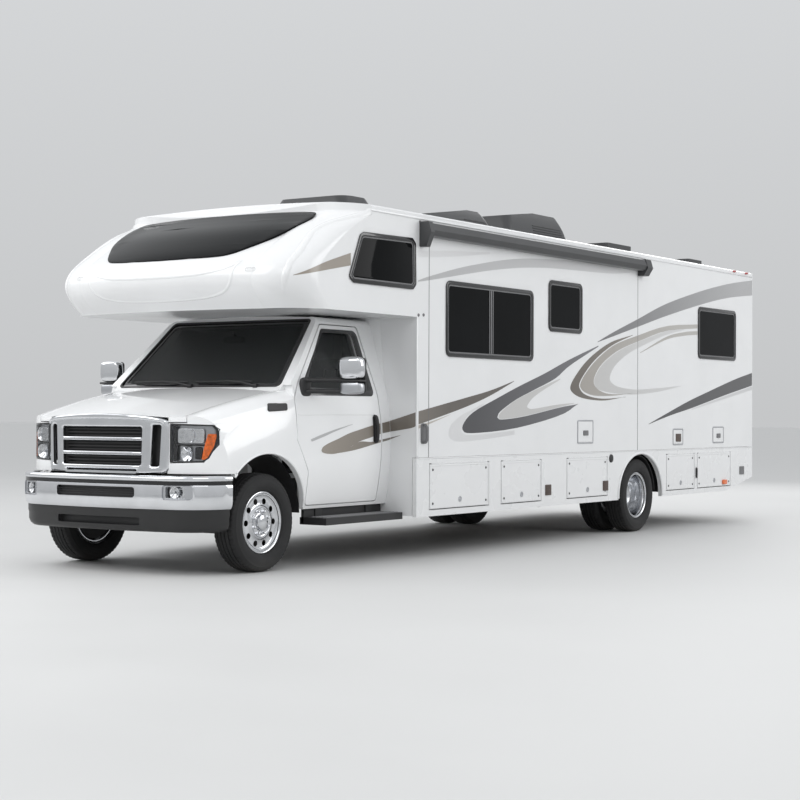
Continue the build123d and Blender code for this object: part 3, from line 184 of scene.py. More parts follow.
def rounded(points, radius, steps=6):
    """Closed outline with every corner turned into an arc, by one radius or a list of them."""
    radii = radius if isinstance(radius, (list, tuple)) else [radius] * len(points)
    loop = []
    for index, corner in enumerate(points):
        corner = Vector(corner)
        to_last = (Vector(points[index - 1]) - corner).normalized()
        to_next = (Vector(points[(index + 1) % len(points)]) - corner).normalized()
        half = to_last.angle(to_next) / 2
        size = radii[index]
        centre = corner + (to_last + to_next).normalized() * (size / math.sin(half))
        start = corner + to_last * (size / math.tan(half)) - centre
        end = corner + to_next * (size / math.tan(half)) - centre
        for step in range(steps + 1):
            loop.append(centre + start.lerp(end, step / steps).normalized() * size)
    return [(p.x, p.y) for p in loop]


def inset(points, distance):
    """Counter-clockwise corners moved inward."""
    moved = []
    for index, corner in enumerate(points):
        corner = Vector(corner)
        before = (corner - Vector(points[index - 1])).normalized()
        after = (Vector(points[(index + 1) % len(points)]) - corner).normalized()
        a, b = Vector((-before.y, before.x)), Vector((-after.y, after.x))
        moved.append(tuple(corner + (a + b) * (distance / (1 + a.dot(b)))))
    return moved


def rectangle(low_u, low_v, high_u, high_v):
    """Counter-clockwise corners of a rectangle."""
    return [(low_u, low_v), (high_u, low_v), (high_u, high_v), (low_u, high_v)]


def spread(low, high, count):
    """Evenly spaced values, ends included."""
    return [low + (high - low) * step / (count - 1) for step in range(count)]


def add_line(curve, points, cyclic):
    """Adds a line of straight stretches through points to a curve."""
    spline = curve.splines.new("POLY")
    spline.points.add(len(points) - 1)
    for point, spot in zip(spline.points, points):
        point.co = (*spot, 1)
    spline.use_cyclic_u = cyclic


def plate(outline, depth, bevel, place, holes=(), cuts_u=(), cuts_v=()):
    """Plate with rounded edges from a flat outline and its holes, put in space by place(u, v, out)."""
    curve = bpy.data.curves.new("plate", "CURVE")
    curve.dimensions = "2D"
    curve.fill_mode = "BOTH"
    curve.extrude = depth / 2 - bevel
    curve.bevel_depth = bevel
    curve.bevel_resolution = 2
    curve.offset = -bevel
    for loop in [outline, *[hole[::-1] for hole in holes]]:
        add_line(curve, [(u, v, 0) for u, v in loop], True)
    flat = evaluated(bpy.data.objects.new("plate", curve))
    bpy.data.curves.remove(curve)
    bm = bmesh.new()
    bm.from_mesh(flat)
    bmesh.ops.remove_doubles(bm, verts=bm.verts, dist=weld)
    for cuts, along in ((cuts_u, (1, 0, 0)), (cuts_v, (0, 1, 0))):
        for cut in cuts:
            geometry = [*bm.verts, *bm.edges, *bm.faces]
            bmesh.ops.bisect_plane(bm, geom=geometry, plane_co=Vector(along) * cut, plane_no=along)
    for vert in bm.verts:
        vert.co = place(vert.co.x, vert.co.y, vert.co.z + depth / 2)
    return mesh_of(bm)


def tile(corners, radius, depth, bevel, place, cuts_u=(), cuts_v=()):
    """Plate with a rounded rectangle as its outline, from two opposite corners in one row."""
    return plate(rounded(rectangle(*corners), radius), depth, bevel, place, (), cuts_u, cuts_v)


def border(corners, width, radii, depth, bevel, place, cuts_u=(), cuts_v=()):
    """Plate frame that reaches inward from its corners. radii are its outer and inner ones."""
    hole = rounded(inset(corners, width), radii[1])
    return plate(rounded(corners, radii[0]), depth, bevel, place, [hole], cuts_u, cuts_v)


def on_wall(stand_off=0.0):
    """Place on the left coach wall: u is a station, v a height."""
    return lambda u, v, out: Vector((wall_x + stand_off + out, at(u), v))


def facing_front(station):
    """Place on a cross plane, raised toward the front: u is x, v a height."""
    return lambda u, v, out: Vector((u, at(station) - out, v))


def facing_rear(station):
    """Place on a cross plane, raised toward the rear: u is x, v a height."""
    return lambda u, v, out: Vector((u, at(station) + out, v))


def laid_on(tree, lift):
    """Place on a surface seen from the left, raised along its normal: u is a station, v a height."""
    def place(u, v, out):
        spot, normal = from_left(tree, u, v)
        return spot + normal * (out + lift)
    return place


def tube(points, radius, sides=3):
    """Round bar along points."""
    curve = bpy.data.curves.new("tube", "CURVE")
    curve.dimensions = "3D"
    curve.bevel_depth = radius
    curve.bevel_resolution = sides
    curve.use_fill_caps = True
    add_line(curve, points, False)
    mesh = evaluated(bpy.data.objects.new("tube", curve))
    bpy.data.curves.remove(curve)
    return joined(mesh)


def block(low, high, bevel=0.004, segments=2):
    """Box between two corners with rounded edges."""
    bm = bmesh.new()
    bmesh.ops.create_cube(bm, size=1)
    low, high = Vector(map(min, low, high)), Vector(map(max, low, high))
    for vert in bm.verts:
        vert.co = Vector((a + (b - a) * (c + 0.5) for a, b, c in zip(low, high, vert.co)))
    bmesh.ops.bevel(bm, geom=bm.edges, offset=bevel, segments=segments, affect="EDGES", profile=0.5)
    return mesh_of(bm)


def wall_block(first, low_z, last, high_z, inner, outer, bevel):
    """Rounded box on the left wall, from inner to outer distances out of its face."""
    return block((wall_x + inner, at(first), low_z), (wall_x + outer, at(last), high_z), bevel)


def bridge(bm, rings, closed=False):
    """Faces from each ring of vertices to the next. An open run gets end faces, a closed one joins up."""
    for this, following in zip(rings, rings[1:] + rings[:1] if closed else rings[1:]):
        for index in range(len(this)):
            after = (index + 1) % len(this)
            bm.faces.new((this[index], this[after], following[after], following[index]))
    if not closed:
        bm.faces.new(rings[0])
        bm.faces.new(rings[-1])


def lathe(profile, centre, steps=96, lift=None):
    """Ring turned about the X axis through centre. profile holds closed (x, radius) points."""
    bm = bmesh.new()
    rings = []
    for turn in range(steps):
        angle = turn * math.tau / steps
        ring = []
        for x, radius in profile:
            if lift:
                x, radius = lift(x, radius, turn)
            spot = Vector((x, radius * math.cos(angle), radius * math.sin(angle)))
            ring.append(bm.verts.new(spot + Vector(centre)))
        rings.append(ring)
    bridge(bm, rings, closed=True)
    bmesh.ops.remove_doubles(bm, verts=bm.verts, dist=weld)
    return mesh_of(bm)


def shifted(profile, x):
    """Profile of (x, radius) points moved along X."""
    return [(x + offset, radius) for offset, radius in profile]


def button(profile, station, z, steps):
    """Round fitting on the left wall."""
    return lathe(shifted(profile, wall_x), (0, at(station), z), steps)


def sweep(path, profile):
    """Bar with a closed (out, height) profile along a plan path that runs with its outside on the right."""
    bm = bmesh.new()
    rings = []
    for index, spot in enumerate(path):
        ahead = Vector(path[min(index + 1, len(path) - 1)]) - Vector(path[max(index - 1, 0)])
        outward = Vector((ahead.y, -ahead.x)).normalized()
        ring = [(spot[0] + outward.x * out, spot[1] + outward.y * out, z) for out, z in profile]
        rings.append([bm.verts.new(corner) for corner in ring])
    bridge(bm, rings)
    return mesh_of(bm)


def arc(start, middle, end, count):
    """Points of the flat arc through three points."""
    a, b, c = Vector(start), Vector(middle), Vector(end)
    d = 2 * (a.x * (b.y - c.y) + b.x * (c.y - a.y) + c.x * (a.y - b.y))
    centre = Vector((
        (a.dot(a) * (b.y - c.y) + b.dot(b) * (c.y - a.y) + c.dot(c) * (a.y - b.y)) / d,
        (a.dot(a) * (c.x - b.x) + b.dot(b) * (a.x - c.x) + c.dot(c) * (b.x - a.x)) / d,
    ))
    radius = (a - centre).length
    points = []
    for t in spread(0, 1, count):
        chord = a.lerp(b, 2 * t) if t < 0.5 else b.lerp(c, 2 * t - 1)
        points.append(tuple(centre + (chord - centre).normalized() * radius))
    return points


def cut_out(mesh, *cutters):
    """Mesh with the volumes of other meshes taken away."""
    body = bpy.data.objects.new("cut", mesh)
    helpers = []
    for cutter in cutters:
        helper = bpy.data.objects.new("cutter", cutter)
        scene.collection.objects.link(helper)
        helpers.append(helper)
        modifier = body.modifiers.new("cut", "BOOLEAN")
        modifier.operation = "DIFFERENCE"
        modifier.solver = "EXACT"
        modifier.object = helper
    return evaluated(body, *helpers)


def band(first_edge, second_edge, place, count=40):
    """Thin film between two smooth edges, laid on a surface by place(u, v, out)."""
    bm = bmesh.new()
    rings = []
    for first, second in zip(smooth_line(first_edge, count), smooth_line(second_edge, count)):
        row = [first.lerp(second, share) for share in (0, 0.34, 0.67, 1)]
        ring = [place(spot.x, spot.y, 0) for spot in row]
        ring += [place(spot.x, spot.y, film_depth) for spot in reversed(row)]
        rings.append([bm.verts.new(spot) for spot in ring])
    bridge(bm, rings)
    bmesh.ops.remove_doubles(bm, verts=bm.verts, dist=film_weld)
    return mesh_of(bm)


def soft_block(low, high, levels=2, pinch=0.0):
    """Rounded moulded form between two corners, by subdivision."""
    bm = bmesh.new()
    bmesh.ops.create_cube(bm, size=1)
    bmesh.ops.bevel(bm, geom=bm.edges, offset=soft_bevel, segments=1, affect="EDGES")
    for vert in bm.verts:
        x, y, z = vert.co
        shrink = 1 - pinch * (z + 0.5)
        unit = (x * shrink + 0.5, y * shrink + 0.5, z + 0.5)
        vert.co = Vector((a + (b - a) * c for a, b, c in zip(low, high, unit)))
    holder = bpy.data.objects.new("soft", mesh_of(bm))
    modifier = holder.modifiers.new("smooth", "SUBSURF")
    modifier.levels = levels
    return evaluated(holder)


# Materials
bump_depth = 0.001
film_rough, film_coat = 0.3, 0.3
glass_rough, glass_blend = 0.03, 0.3
# Colour sockets of a mix node
mix_first, mix_second, mix_result = 6, 7, 2


def shader(name):
    """New node material and its main shader."""
    material = bpy.data.materials.new(name)
    material.use_nodes = True
    return material, material.node_tree, material.node_tree.nodes["Principled BSDF"]


def grain(tree, scale, detail=3.0):
    """Value of a noise fixed to the object."""
    coords = tree.nodes.new("ShaderNodeTexCoord")
    noise = tree.nodes.new("ShaderNodeTexNoise")
    noise.inputs["Scale"].default_value = scale
    noise.inputs["Detail"].default_value = detail
    tree.links.new(coords.outputs["Object"], noise.inputs["Vector"])
    return noise.outputs["Fac"]


def coordinate(tree, axis, kind="Object"):
    """Value of one coordinate."""
    coords = tree.nodes.new("ShaderNodeTexCoord")
    split = tree.nodes.new("ShaderNodeSeparateXYZ")
    tree.links.new(coords.outputs[kind], split.inputs["Vector"])
    return split.outputs[axis]


def remapped(tree, source, from_min=0.0, from_max=1.0, to_min=0.0, to_max=1.0):
    """Value carried from one range to another."""
    span = tree.nodes.new("ShaderNodeMapRange")
    limits = {"From Min": from_min, "From Max": from_max, "To Min": to_min, "To Max": to_max}
    for socket, value in limits.items():
        span.inputs[socket].default_value = value
    tree.links.new(source, span.inputs["Value"])
    return span.outputs["Result"]


def ramped(tree, source, colors, positions=(0, 1)):
    """Colour that runs from one to another as a value rises."""
    ramp = tree.nodes.new("ShaderNodeValToRGB")
    for element, position, color in zip(ramp.color_ramp.elements, positions, colors):
        element.position = position
        element.color = (*color, 1)
    tree.links.new(source, ramp.inputs["Fac"])
    return ramp.outputs["Color"]


def add_bump(tree, main, source, strength):
    """Bump from a value on the main shader."""
    bump = tree.nodes.new("ShaderNodeBump")
    bump.inputs["Strength"].default_value = strength
    bump.inputs["Distance"].default_value = bump_depth
    tree.links.new(source, bump.inputs["Height"])
    tree.links.new(bump.outputs["Normal"], main.inputs["Normal"])


def surface(name, color, rough, metal=0.0, mottle=0.04, scale=2.5, bump=0.0, bump_scale=250.0, **sockets):
    """General finish: colour and roughness that drift a little, and a fine bump."""
    material, tree, main = shader(name)
    noise = grain(tree, scale)
    tones = [[min(c * share, 1) for c in color] for share in (1 - mottle, 1 + mottle)]
    tree.links.new(ramped(tree, noise, tones, (0.3, 0.7)), main.inputs["Base Color"])
    tree.links.new(remapped(tree, noise, to_min=rough * 0.8, to_max=rough * 1.2), main.inputs["Roughness"])
    main.inputs["Metallic"].default_value = metal
    if bump:
        add_bump(tree, main, grain(tree, bump_scale), bump)
    for socket, value in sockets.items():
        main.inputs[socket.replace("_", " ")].default_value = value
    return material


def add_dust(material, color, low, high, most):
    """Adds road dust that thins out from a low height to a high one."""
    tree = material.node_tree
    base = tree.nodes["Principled BSDF"].inputs["Base Color"]
    patchy = tree.nodes.new("ShaderNodeMath")
    patchy.operation = "MULTIPLY"
    tree.links.new(remapped(tree, coordinate(tree, "Z"), high, low, to_max=most), patchy.inputs[0])
    tree.links.new(grain(tree, 5.0, 6.0), patchy.inputs[1])
    mix = tree.nodes.new("ShaderNodeMix")
    mix.data_type = "RGBA"
    mix.inputs[mix_second].default_value = (*color, 1)
    tree.links.new(patchy.outputs["Value"], mix.inputs["Factor"])
    tree.links.new(base.links[0].from_socket, mix.inputs[mix_first])
    tree.links.new(mix.outputs[mix_result], base)


def pane(name, color, clear, grazing):
    """Thin glass: see-through from the front and mirror-like at a low angle."""
    material = surface(name, color, glass_rough, mottle=0.1, scale=1.5)
    tree = material.node_tree
    facing = tree.nodes.new("ShaderNodeLayerWeight")
    facing.inputs["Blend"].default_value = glass_blend
    alpha = remapped(tree, facing.outputs["Facing"], to_min=clear, to_max=grazing)
    tree.links.new(alpha, tree.nodes["Principled BSDF"].inputs["Alpha"])
    return material


def weave(name, color, scale):
    """Woven cloth: two crossing waves as bump, with a sheen."""
    material, tree, main = shader(name)
    coords = tree.nodes.new("ShaderNodeTexCoord")
    waves = []
    for direction in ("X", "Z"):
        wave = tree.nodes.new("ShaderNodeTexWave")
        wave.bands_direction = direction
        wave.inputs["Scale"].default_value = scale
        wave.inputs["Distortion"].default_value = 0.6
        tree.links.new(coords.outputs["Object"], wave.inputs["Vector"])
        waves.append(wave)
    both = tree.nodes.new("ShaderNodeMath")
    both.operation = "MAXIMUM"
    for index, wave in enumerate(waves):
        tree.links.new(wave.outputs["Fac"], both.inputs[index])
    thread = both.outputs["Value"]
    tree.links.new(ramped(tree, thread, ([c * 0.6 for c in color], color)), main.inputs["Base Color"])
    main.inputs["Roughness"].default_value = 0.85
    main.inputs["Sheen Weight"].default_value = 0.3
    add_bump(tree, main, thread, 0.5)
    return material


def graphic(name, first, second, from_station, to_station):
    """Stripe film whose colour runs from one tone to another along the vehicle."""
    material, tree, main = shader(name)
    along = remapped(tree, coordinate(tree, "Y"), at(from_station), at(to_station))
    tree.links.new(ramped(tree, along, (first, second)), main.inputs["Base Color"])
    main.inputs["Roughness"].default_value = film_rough
    main.inputs["Coat Weight"].default_value = film_coat
    return material


shell_white = (0.80, 0.805, 0.81)
road_dust = (0.42, 0.40, 0.37)
tyre_dust = (0.10, 0.095, 0.085)
gelcoat = surface("gelcoat", shell_white, 0.24, mottle=0.015, bump=0.02, bump_scale=60, Coat_Weight=0.35)
skirt_white = surface("skirt_white", shell_white, 0.28, mottle=0.015, bump=0.02, bump_scale=60,
                      Coat_Weight=0.3)
add_dust(skirt_white, road_dust, 0.35, 0.75, 0.12)
cab_white = surface("cab_white", (0.86, 0.865, 0.87), 0.16, mottle=0.012, Coat_Weight=0.6)
add_dust(cab_white, road_dust, 0.42, 0.85, 0.2)
chrome = surface("chrome", (0.72, 0.73, 0.75), 0.07, 1.0, mottle=0.05, scale=6)
satin_metal = surface("satin_metal", (0.50, 0.51, 0.53), 0.3, 1.0, bump=0.05, bump_scale=400)
polished = surface("polished_aluminium", (0.62, 0.63, 0.65), 0.16, 1.0, mottle=0.05, scale=9, bump=0.03)
black_trim = surface("black_trim", (0.018, 0.018, 0.019), 0.5, mottle=0.2, bump=0.25, bump_scale=500)
valance_black = surface("valance_black", (0.016, 0.016, 0.0165), 0.42, mottle=0.15, bump=0.2, bump_scale=400)
black_gloss = surface("black_gloss", (0.008, 0.008, 0.009), 0.12, mottle=0.2, Coat_Weight=0.5)
grey_trim = surface("grey_trim", (0.16, 0.16, 0.165), 0.45, mottle=0.1, bump=0.2, bump_scale=400)
roof_plastic = surface("roof_plastic", (0.045, 0.046, 0.048), 0.42, mottle=0.15, bump=0.2, bump_scale=300)
rubber = surface("tyre_rubber", (0.013, 0.013, 0.0135), 0.75, mottle=0.2, scale=12, bump=0.3, bump_scale=600)
add_dust(rubber, tyre_dust, 0.0, 0.12, 0.5)
undercoat = surface("undercoat", (0.022, 0.022, 0.023), 0.65, mottle=0.25, scale=8, bump=0.35,
                    bump_scale=150)
cast_iron = surface("cast_iron", (0.07, 0.067, 0.063), 0.55, 0.6, mottle=0.25, scale=12, bump=0.4,
                    bump_scale=200)
exhaust_steel = surface("exhaust_steel", (0.30, 0.28, 0.25), 0.4, 1.0, mottle=0.25, scale=10, bump=0.15)
coach_glass = surface("coach_glass", (0.004, 0.0045, 0.005), 0.05, mottle=0.3, scale=1.2,
                      Specular_IOR_Level=0.06)
cab_glass = pane("cab_glass", (0.010, 0.013, 0.013), 0.28, 0.8)
screen_glass = pane("screen_glass", (0.006, 0.008, 0.008), 0.62, 0.88)
lens_clear = pane("lens_clear", (0.10, 0.105, 0.11), 0.06, 0.40)
mirror_glass = surface("mirror_glass", (0.75, 0.77, 0.80), 0.02, 1.0, mottle=0.02)
reflector = surface("lamp_reflector", (0.80, 0.81, 0.83), 0.12, 1.0, mottle=0.1, scale=40)
amber = surface("amber_lens", (0.78, 0.14, 0.006), 0.18, mottle=0.25, scale=60, Coat_Weight=0.8)
red_lens = surface("red_lens", (0.42, 0.012, 0.010), 0.2, mottle=0.25, scale=60, Coat_Weight=0.8)
dash_plastic = surface("dash_plastic", (0.05, 0.048, 0.046), 0.6, mottle=0.1, bump=0.4, bump_scale=500)
floor_vinyl = surface("floor_vinyl", (0.22, 0.15, 0.10), 0.45, mottle=0.25, scale=5, bump=0.1)
brown_vent = surface("brown_vent", (0.085, 0.06, 0.05), 0.5, mottle=0.2, scale=30, bump=0.2)
seat_cloth = weave("seat_cloth", (0.10, 0.098, 0.095), 180)
dark_grey_film = graphic("dark_grey_film", (0.055, 0.055, 0.060), (0.16, 0.16, 0.17), 2.6, 4.8)
mid_grey_film = graphic("mid_grey_film", (0.16, 0.16, 0.165), (0.42, 0.42, 0.425), 5.0, 8.6)
rear_grey_film = graphic("rear_grey_film", (0.06, 0.06, 0.062), (0.085, 0.085, 0.088), 6.2, 8.9)
pale_grey_film = graphic("pale_grey_film", (0.44, 0.44, 0.445), (0.60, 0.60, 0.605), 1.7, 5.6)
soft_grey_film = graphic("soft_grey_film", (0.70, 0.70, 0.705), (0.60, 0.60, 0.605), 1.7, 4.5)
taupe_film = graphic("taupe_film", (0.125, 0.108, 0.092), (0.21, 0.19, 0.165), 4.4, 5.6)
mid_taupe_film = graphic("mid_taupe_film", (0.36, 0.335, 0.305), (0.46, 0.445, 0.42), 4.6, 6.8)
light_taupe_film = graphic("light_taupe_film", (0.54, 0.535, 0.525), (0.62, 0.62, 0.62), 4.9, 6.8)
cab_taupe_film = graphic("cab_taupe_film", (0.30, 0.265, 0.225), (0.11, 0.098, 0.085), 0.7, 2.2)
cab_beige_film = graphic("cab_beige_film", (0.42, 0.38, 0.335), (0.50, 0.47, 0.43), 0.8, 2.4)

# CAD nodes that stay, and the finish of each
node_finish = {
    cab_white: ("cab_body", "cab_door_left", "cab_door_right", "hood", "front_wings"),
    gelcoat: ("front_cap", "side_wall_left", "side_wall_right", "end_walls", "roof", "entry_door"),
    skirt_white: ("skirts", "bay_door_left_1", "bay_door_left_2", "bay_door_left_3", "bay_door_left_4",
                  "bay_door_left_5", "bay_door_right_1"),
    screen_glass: ("windscreen",),
    cab_glass: ("cab_glass_left", "cab_glass_right"),
    coach_glass: ("window_glass", "entry_glass"),
    black_trim: ("wheel_liners", "cab_steps", "rear_bumper", "storage_boxes", "bumper_valance"),
    roof_plastic: ("roof_units", "awning"),
    undercoat: ("chassis_frame", "underbody_tanks"),
    cast_iron: ("front_axle", "rear_axle", "springs", "knuckle_left", "knuckle_right", "engine"),
    exhaust_steel: ("exhaust",),
    dash_plastic: ("dashboard", "steering_wheel"),
    floor_vinyl: ("coach_floor",),
    red_lens: ("tail_lamps",),
    black_gloss: ("window_frames",),
    chrome: ("grille", "front_bumper", "mirror_left", "mirror_right"),
    lens_clear: ("headlamps",),
    seat_cloth: ("cab_seats",),
    rubber: ("tyre_front_left", "tyre_front_right", "tyres_rear_left", "tyres_rear_right"),
    polished: ("rim_front_left", "rim_front_right", "rims_rear_left", "rims_rear_right"),
}


def dress_nodes():
    """Gives every CAD node that stays its finish."""
    for finish, names in node_finish.items():
        for name in names:
            for slot in nodes[name].material_slots:
                slot.link = "OBJECT"
                slot.material = finish


# Wheels
tyre_grooves = (0.017, 0.052)
groove_half = 0.004
groove_depth = 0.010
tread_half = 0.0845
tread_crown = 0.0055
shoulder_cut = 0.006
zigzag = 0.0016
# Depths under the tread within which its ribs are cut or bent
shoulder_band = 0.016
middle_band = 0.014
# Sidewall from bead to shoulder: distance from the wheel plane, radius
sidewall = [(0.078, 0.214), (0.078, 0.238), (0.090, 0.245), (0.0975, 0.252), (0.0985, 0.256), (0.104, 0.264),
            (0.1095, 0.282), (0.1122, 0.300), (0.1112, 0.320), (0.1075, 0.337), (0.1082, 0.342),
            (0.1035, 0.349), (0.0985, 0.357), (0.0920, 0.368)]


def tread_radius(x):
    """Radius of the crowned tread at a distance from the wheel plane."""
    return tyre_radius - tread_crown * (x / tread_half) ** 2


def tyre_profile():
    """Closed section of the tyre with its grooves."""
    tread = [tread_half]
    for groove in sorted(tyre_grooves, reverse=True):
        tread += [groove + groove_half * share for share in (1, 0.6, -0.6, -1)]
    half = []
    for index, x in enumerate(tread):
        in_groove = index > 0 and (index - 1) % 4 in (1, 2)
        half.append((x, tread_radius(x) - (groove_depth if in_groove else 0)))
    outer = sidewall + half
    return outer + [(-x, r) for x, r in reversed(outer)]


def tread_lift(x, radius, turn):
    """Cross cuts in the shoulder ribs and a slight zigzag in the middle ribs."""
    on_shoulder = abs(x) > tyre_grooves[1] + groove_half * 0.8 and radius > tyre_radius - shoulder_band
    if on_shoulder and turn % 3 == 0:
        return x, radius - shoulder_cut
    if abs(x) < tyre_grooves[1] and radius > tyre_radius - middle_band:
        return x + (zigzag if turn % 2 else -zigzag), radius
    return x, radius


def tyre(x, station):
    """Tyre with tread around a wheel plane."""
    profile = shifted(tyre_profile(), x)

    def lift(place, radius, turn):
        moved, radius = tread_lift(place - x, radius, turn)
        return x + moved, radius
    return lathe(profile, (0, at(station), hub_z), 180, lift)


# Front wheel face and barrel: distance from the wheel plane, radius
front_rim_profile = [
    (0.08, 0.2375), (0.085, 0.237), (0.0865, 0.232), (0.0845, 0.226), (0.078, 0.221), (0.07, 0.213),
    (0.063, 0.204), (0.059, 0.195), (0.058, 0.186), (0.0592, 0.16), (0.061, 0.14), (0.064, 0.133),
    (0.072, 0.127), (0.075, 0.121), (0.0742, 0.115), (0.069, 0.111), (0.0665, 0.106), (0.066, 0.072),
    (0.069, 0.0655), (0.086, 0.0625), (0.095, 0.057), (0.1, 0.046), (0.103, 0.028), (0.104, 0.0),
    (0.096, 0.0), (0.094, 0.042), (0.056, 0.048), (0.056, 0.118), (0.051, 0.13), (0.05, 0.188),
    (0.056, 0.199), (0.04, 0.2), (-0.064, 0.2), (-0.08, 0.222), (-0.0865, 0.232),
    (-0.085, 0.237), (-0.08, 0.2375), (-0.0785, 0.2145), (0.0785, 0.2145),
]
# Rear pair: distance from the plane between the twin wheels, radius
rear_dish_profile = [
    (0.23, 0.2375), (0.235, 0.237), (0.2365, 0.232), (0.234, 0.226), (0.224, 0.218), (0.21, 0.21),
    (0.18, 0.204), (0.12, 0.2), (0.085, 0.196), (0.056, 0.182), (0.03, 0.162), (0.02, 0.148),
    (0.019, 0.096), (0.033, 0.088), (0.09, 0.076), (0.097, 0.068), (0.1, 0.052), (0.101, 0.03),
    (0.1012, 0.0), (0.093, 0.0), (0.07, 0.048), (0.008, 0.052), (0.008, 0.148), (0.02, 0.166),
    (0.076, 0.203), (0.08, 0.2145), (0.228, 0.2145),
]
# Inner rear wheel behind the part of the dish it shares, and the brakes, in the same columns
shared_dish = 13
inner_rim_end = [(0.012, 0.148), (0.02, 0.17), (0.08, 0.2145), (0.228, 0.2145)]
brake_disc = [(0.020, 0.075), (0.020, 0.186), (0.008, 0.190), (0.008, 0.075)]
brake_guard = [(-0.058, 0.085), (-0.058, 0.196), (-0.066, 0.196), (-0.066, 0.085)]
# Hand holes: count, radius of their circle, radius
front_holes, rear_holes = (10, 0.167, 0.0235), (8, 0.126, 0.0185)
nut_count = 8
nut_radius = 0.0115
front_nut_circle, rear_nut_circle = 0.089, 0.106
front_nut_seat, rear_nut_seat = 0.066, 0.019
# Wheel nut: distance out of the wheel's face, share of the nut's radius
nut_profile = [(-0.004, 0), (-0.004, 1.25), (0.004, 1.2), (0.005, 1), (0.016, 1), (0.021, 0.8), (0.023, 0.45),
               (0.0235, 0)]


def ring_of(count, circle, start, profile, centre, steps):
    """Small turned shapes spread round a wheel's axis. start is the first one's place in steps."""
    shapes = []
    for index in range(count):
        angle = (index + start) * math.tau / count
        spot = Vector(centre) + Vector((0, circle * math.cos(angle), circle * math.sin(angle)))
        shapes.append(lathe(profile, spot, steps))
    return joined(*shapes)


def nuts(circle, x, centre):
    """Ring of domed wheel nuts."""
    profile = [(x + out, nut_radius * share) for out, share in nut_profile]
    return ring_of(nut_count, circle, 0.5, profile, centre, 6)


def hole_cutters(count, circle, radius, x_from, x_to, centre):
    """Bars that cut a ring of round hand holes."""
    return ring_of(count, circle, 0, [(x_from, 0), (x_from, radius), (x_to, radius), (x_to, 0)], centre, 24)


def build_wheels():
    """Tyres, rims, brakes and nuts of the single front and the twin rear wheels."""
    front_centre, rear_centre = (0, at(0), hub_z), (0, at(wheelbase), hub_z)
    front_body, rear_body = "wheel_front_{side}", "wheels_rear_{side}"
    both_sides("front_tyre", tyre(front_wheel_x, 0), rubber, front_body, 28, ["tyre_front_{side}"])
    twin = joined(tyre(rear_wheel_x, wheelbase), tyre(twin_wheel_x, wheelbase))
    both_sides("rear_tyres", twin, rubber, rear_body, 28, ["tyres_rear_{side}"])
    rim = lathe(shifted(front_rim_profile, front_wheel_x), front_centre, 120)
    holes = hole_cutters(*front_holes, front_wheel_x + 0.02, front_wheel_x + 0.09, front_centre)
    both_sides("front_rim", cut_out(rim, holes), polished, front_body, 30, ["rim_front_{side}"])
    brakes = (("brake_disc", brake_disc, cast_iron), ("brake_guard", brake_guard, undercoat))
    for name, profile, finish in brakes:
        both_sides(name, lathe(shifted(profile, front_wheel_x), front_centre, 64), finish, front_body)
    front_nuts = nuts(front_nut_circle, front_wheel_x + front_nut_seat, front_centre)
    both_sides("front_wheel_nuts", front_nuts, chrome, front_body)
    mount = (rear_wheel_x + twin_wheel_x) / 2
    dish = lathe(shifted(rear_dish_profile, mount), rear_centre, 120)
    holes = hole_cutters(*rear_holes, mount - 0.02, mount + 0.09, rear_centre)
    inner = [(mount - x, radius) for x, radius in rear_dish_profile[:shared_dish] + inner_rim_end]
    rims = joined(cut_out(dish, holes), lathe(inner, rear_centre, 96))
    both_sides("rear_rims", rims, polished, rear_body, 30, ["rims_rear_{side}"])
    rear_nuts = nuts(rear_nut_circle, mount + rear_nut_seat, rear_centre)
    both_sides("rear_wheel_nuts", rear_nuts, chrome, rear_body)


# Front end
grille_plan_half = 0.62
grille_nose = -0.785
grille_sweep = 0.095
grille_radii = (0.045, 0.045, 0.05, 0.2, 0.2, 0.05)
bar_half = 0.015
bar_heights = (0.912, 1.021)
# Lip of the hood: station of its rear edge, how far it passes the grille's face, height, fall and rise
lip_rear = -0.690
lip_overlap = 0.010
lip_z = 1.203
lip_fall = 0.055
lip_rise = 0.002
# Grille outlines: x, height
grille_outline = [(-0.612, 0.764), (0.612, 0.764), (0.616, 1.150), (0.40, 1.185), (-0.40, 1.185),
                  (-0.616, 1.150)]
grille_opening = [(-0.402, 0.825), (0.402, 0.825), (0.410, 1.111), (-0.410, 1.111)]
side_slot = [(0.478, 0.818), (0.545, 0.818), (0.560, 1.126), (0.494, 1.126)]
brow_top = [(-0.614, 1.130), (-0.585, 1.168), (-0.40, 1.198), (0.0, 1.213)]
brow_foot = [(-0.592, 1.128), (-0.55, 1.146), (-0.38, 1.163), (0.0, 1.172)]
grille_slit = (-0.36, 0.776, 0.36, 0.792)


def mirrored(points):
    """Line that ends in the middle plane, followed by its mirror image."""
    return points + [(-u, v) for u, v in reversed(points[:-1])]


def grille_station(x):
    """Station of the swept grille face."""
    return grille_nose + grille_sweep * (x / grille_plan_half) ** 4


def on_grille(stand_off):
    """Place on the swept grille face: u is x, v a height."""
    return lambda u, v, out: Vector((u, at(grille_station(u)) + stand_off - out, v))


def on_lip(u, v, out):
    """Place on the lip that carries the hood forward to the brow: v runs from its rear edge to its front."""
    reach = grille_station(u) + lip_overlap - lip_rear
    return Vector((u, at(lip_rear + reach * v), lip_z - lip_fall * u * u + lip_rise * v + out))


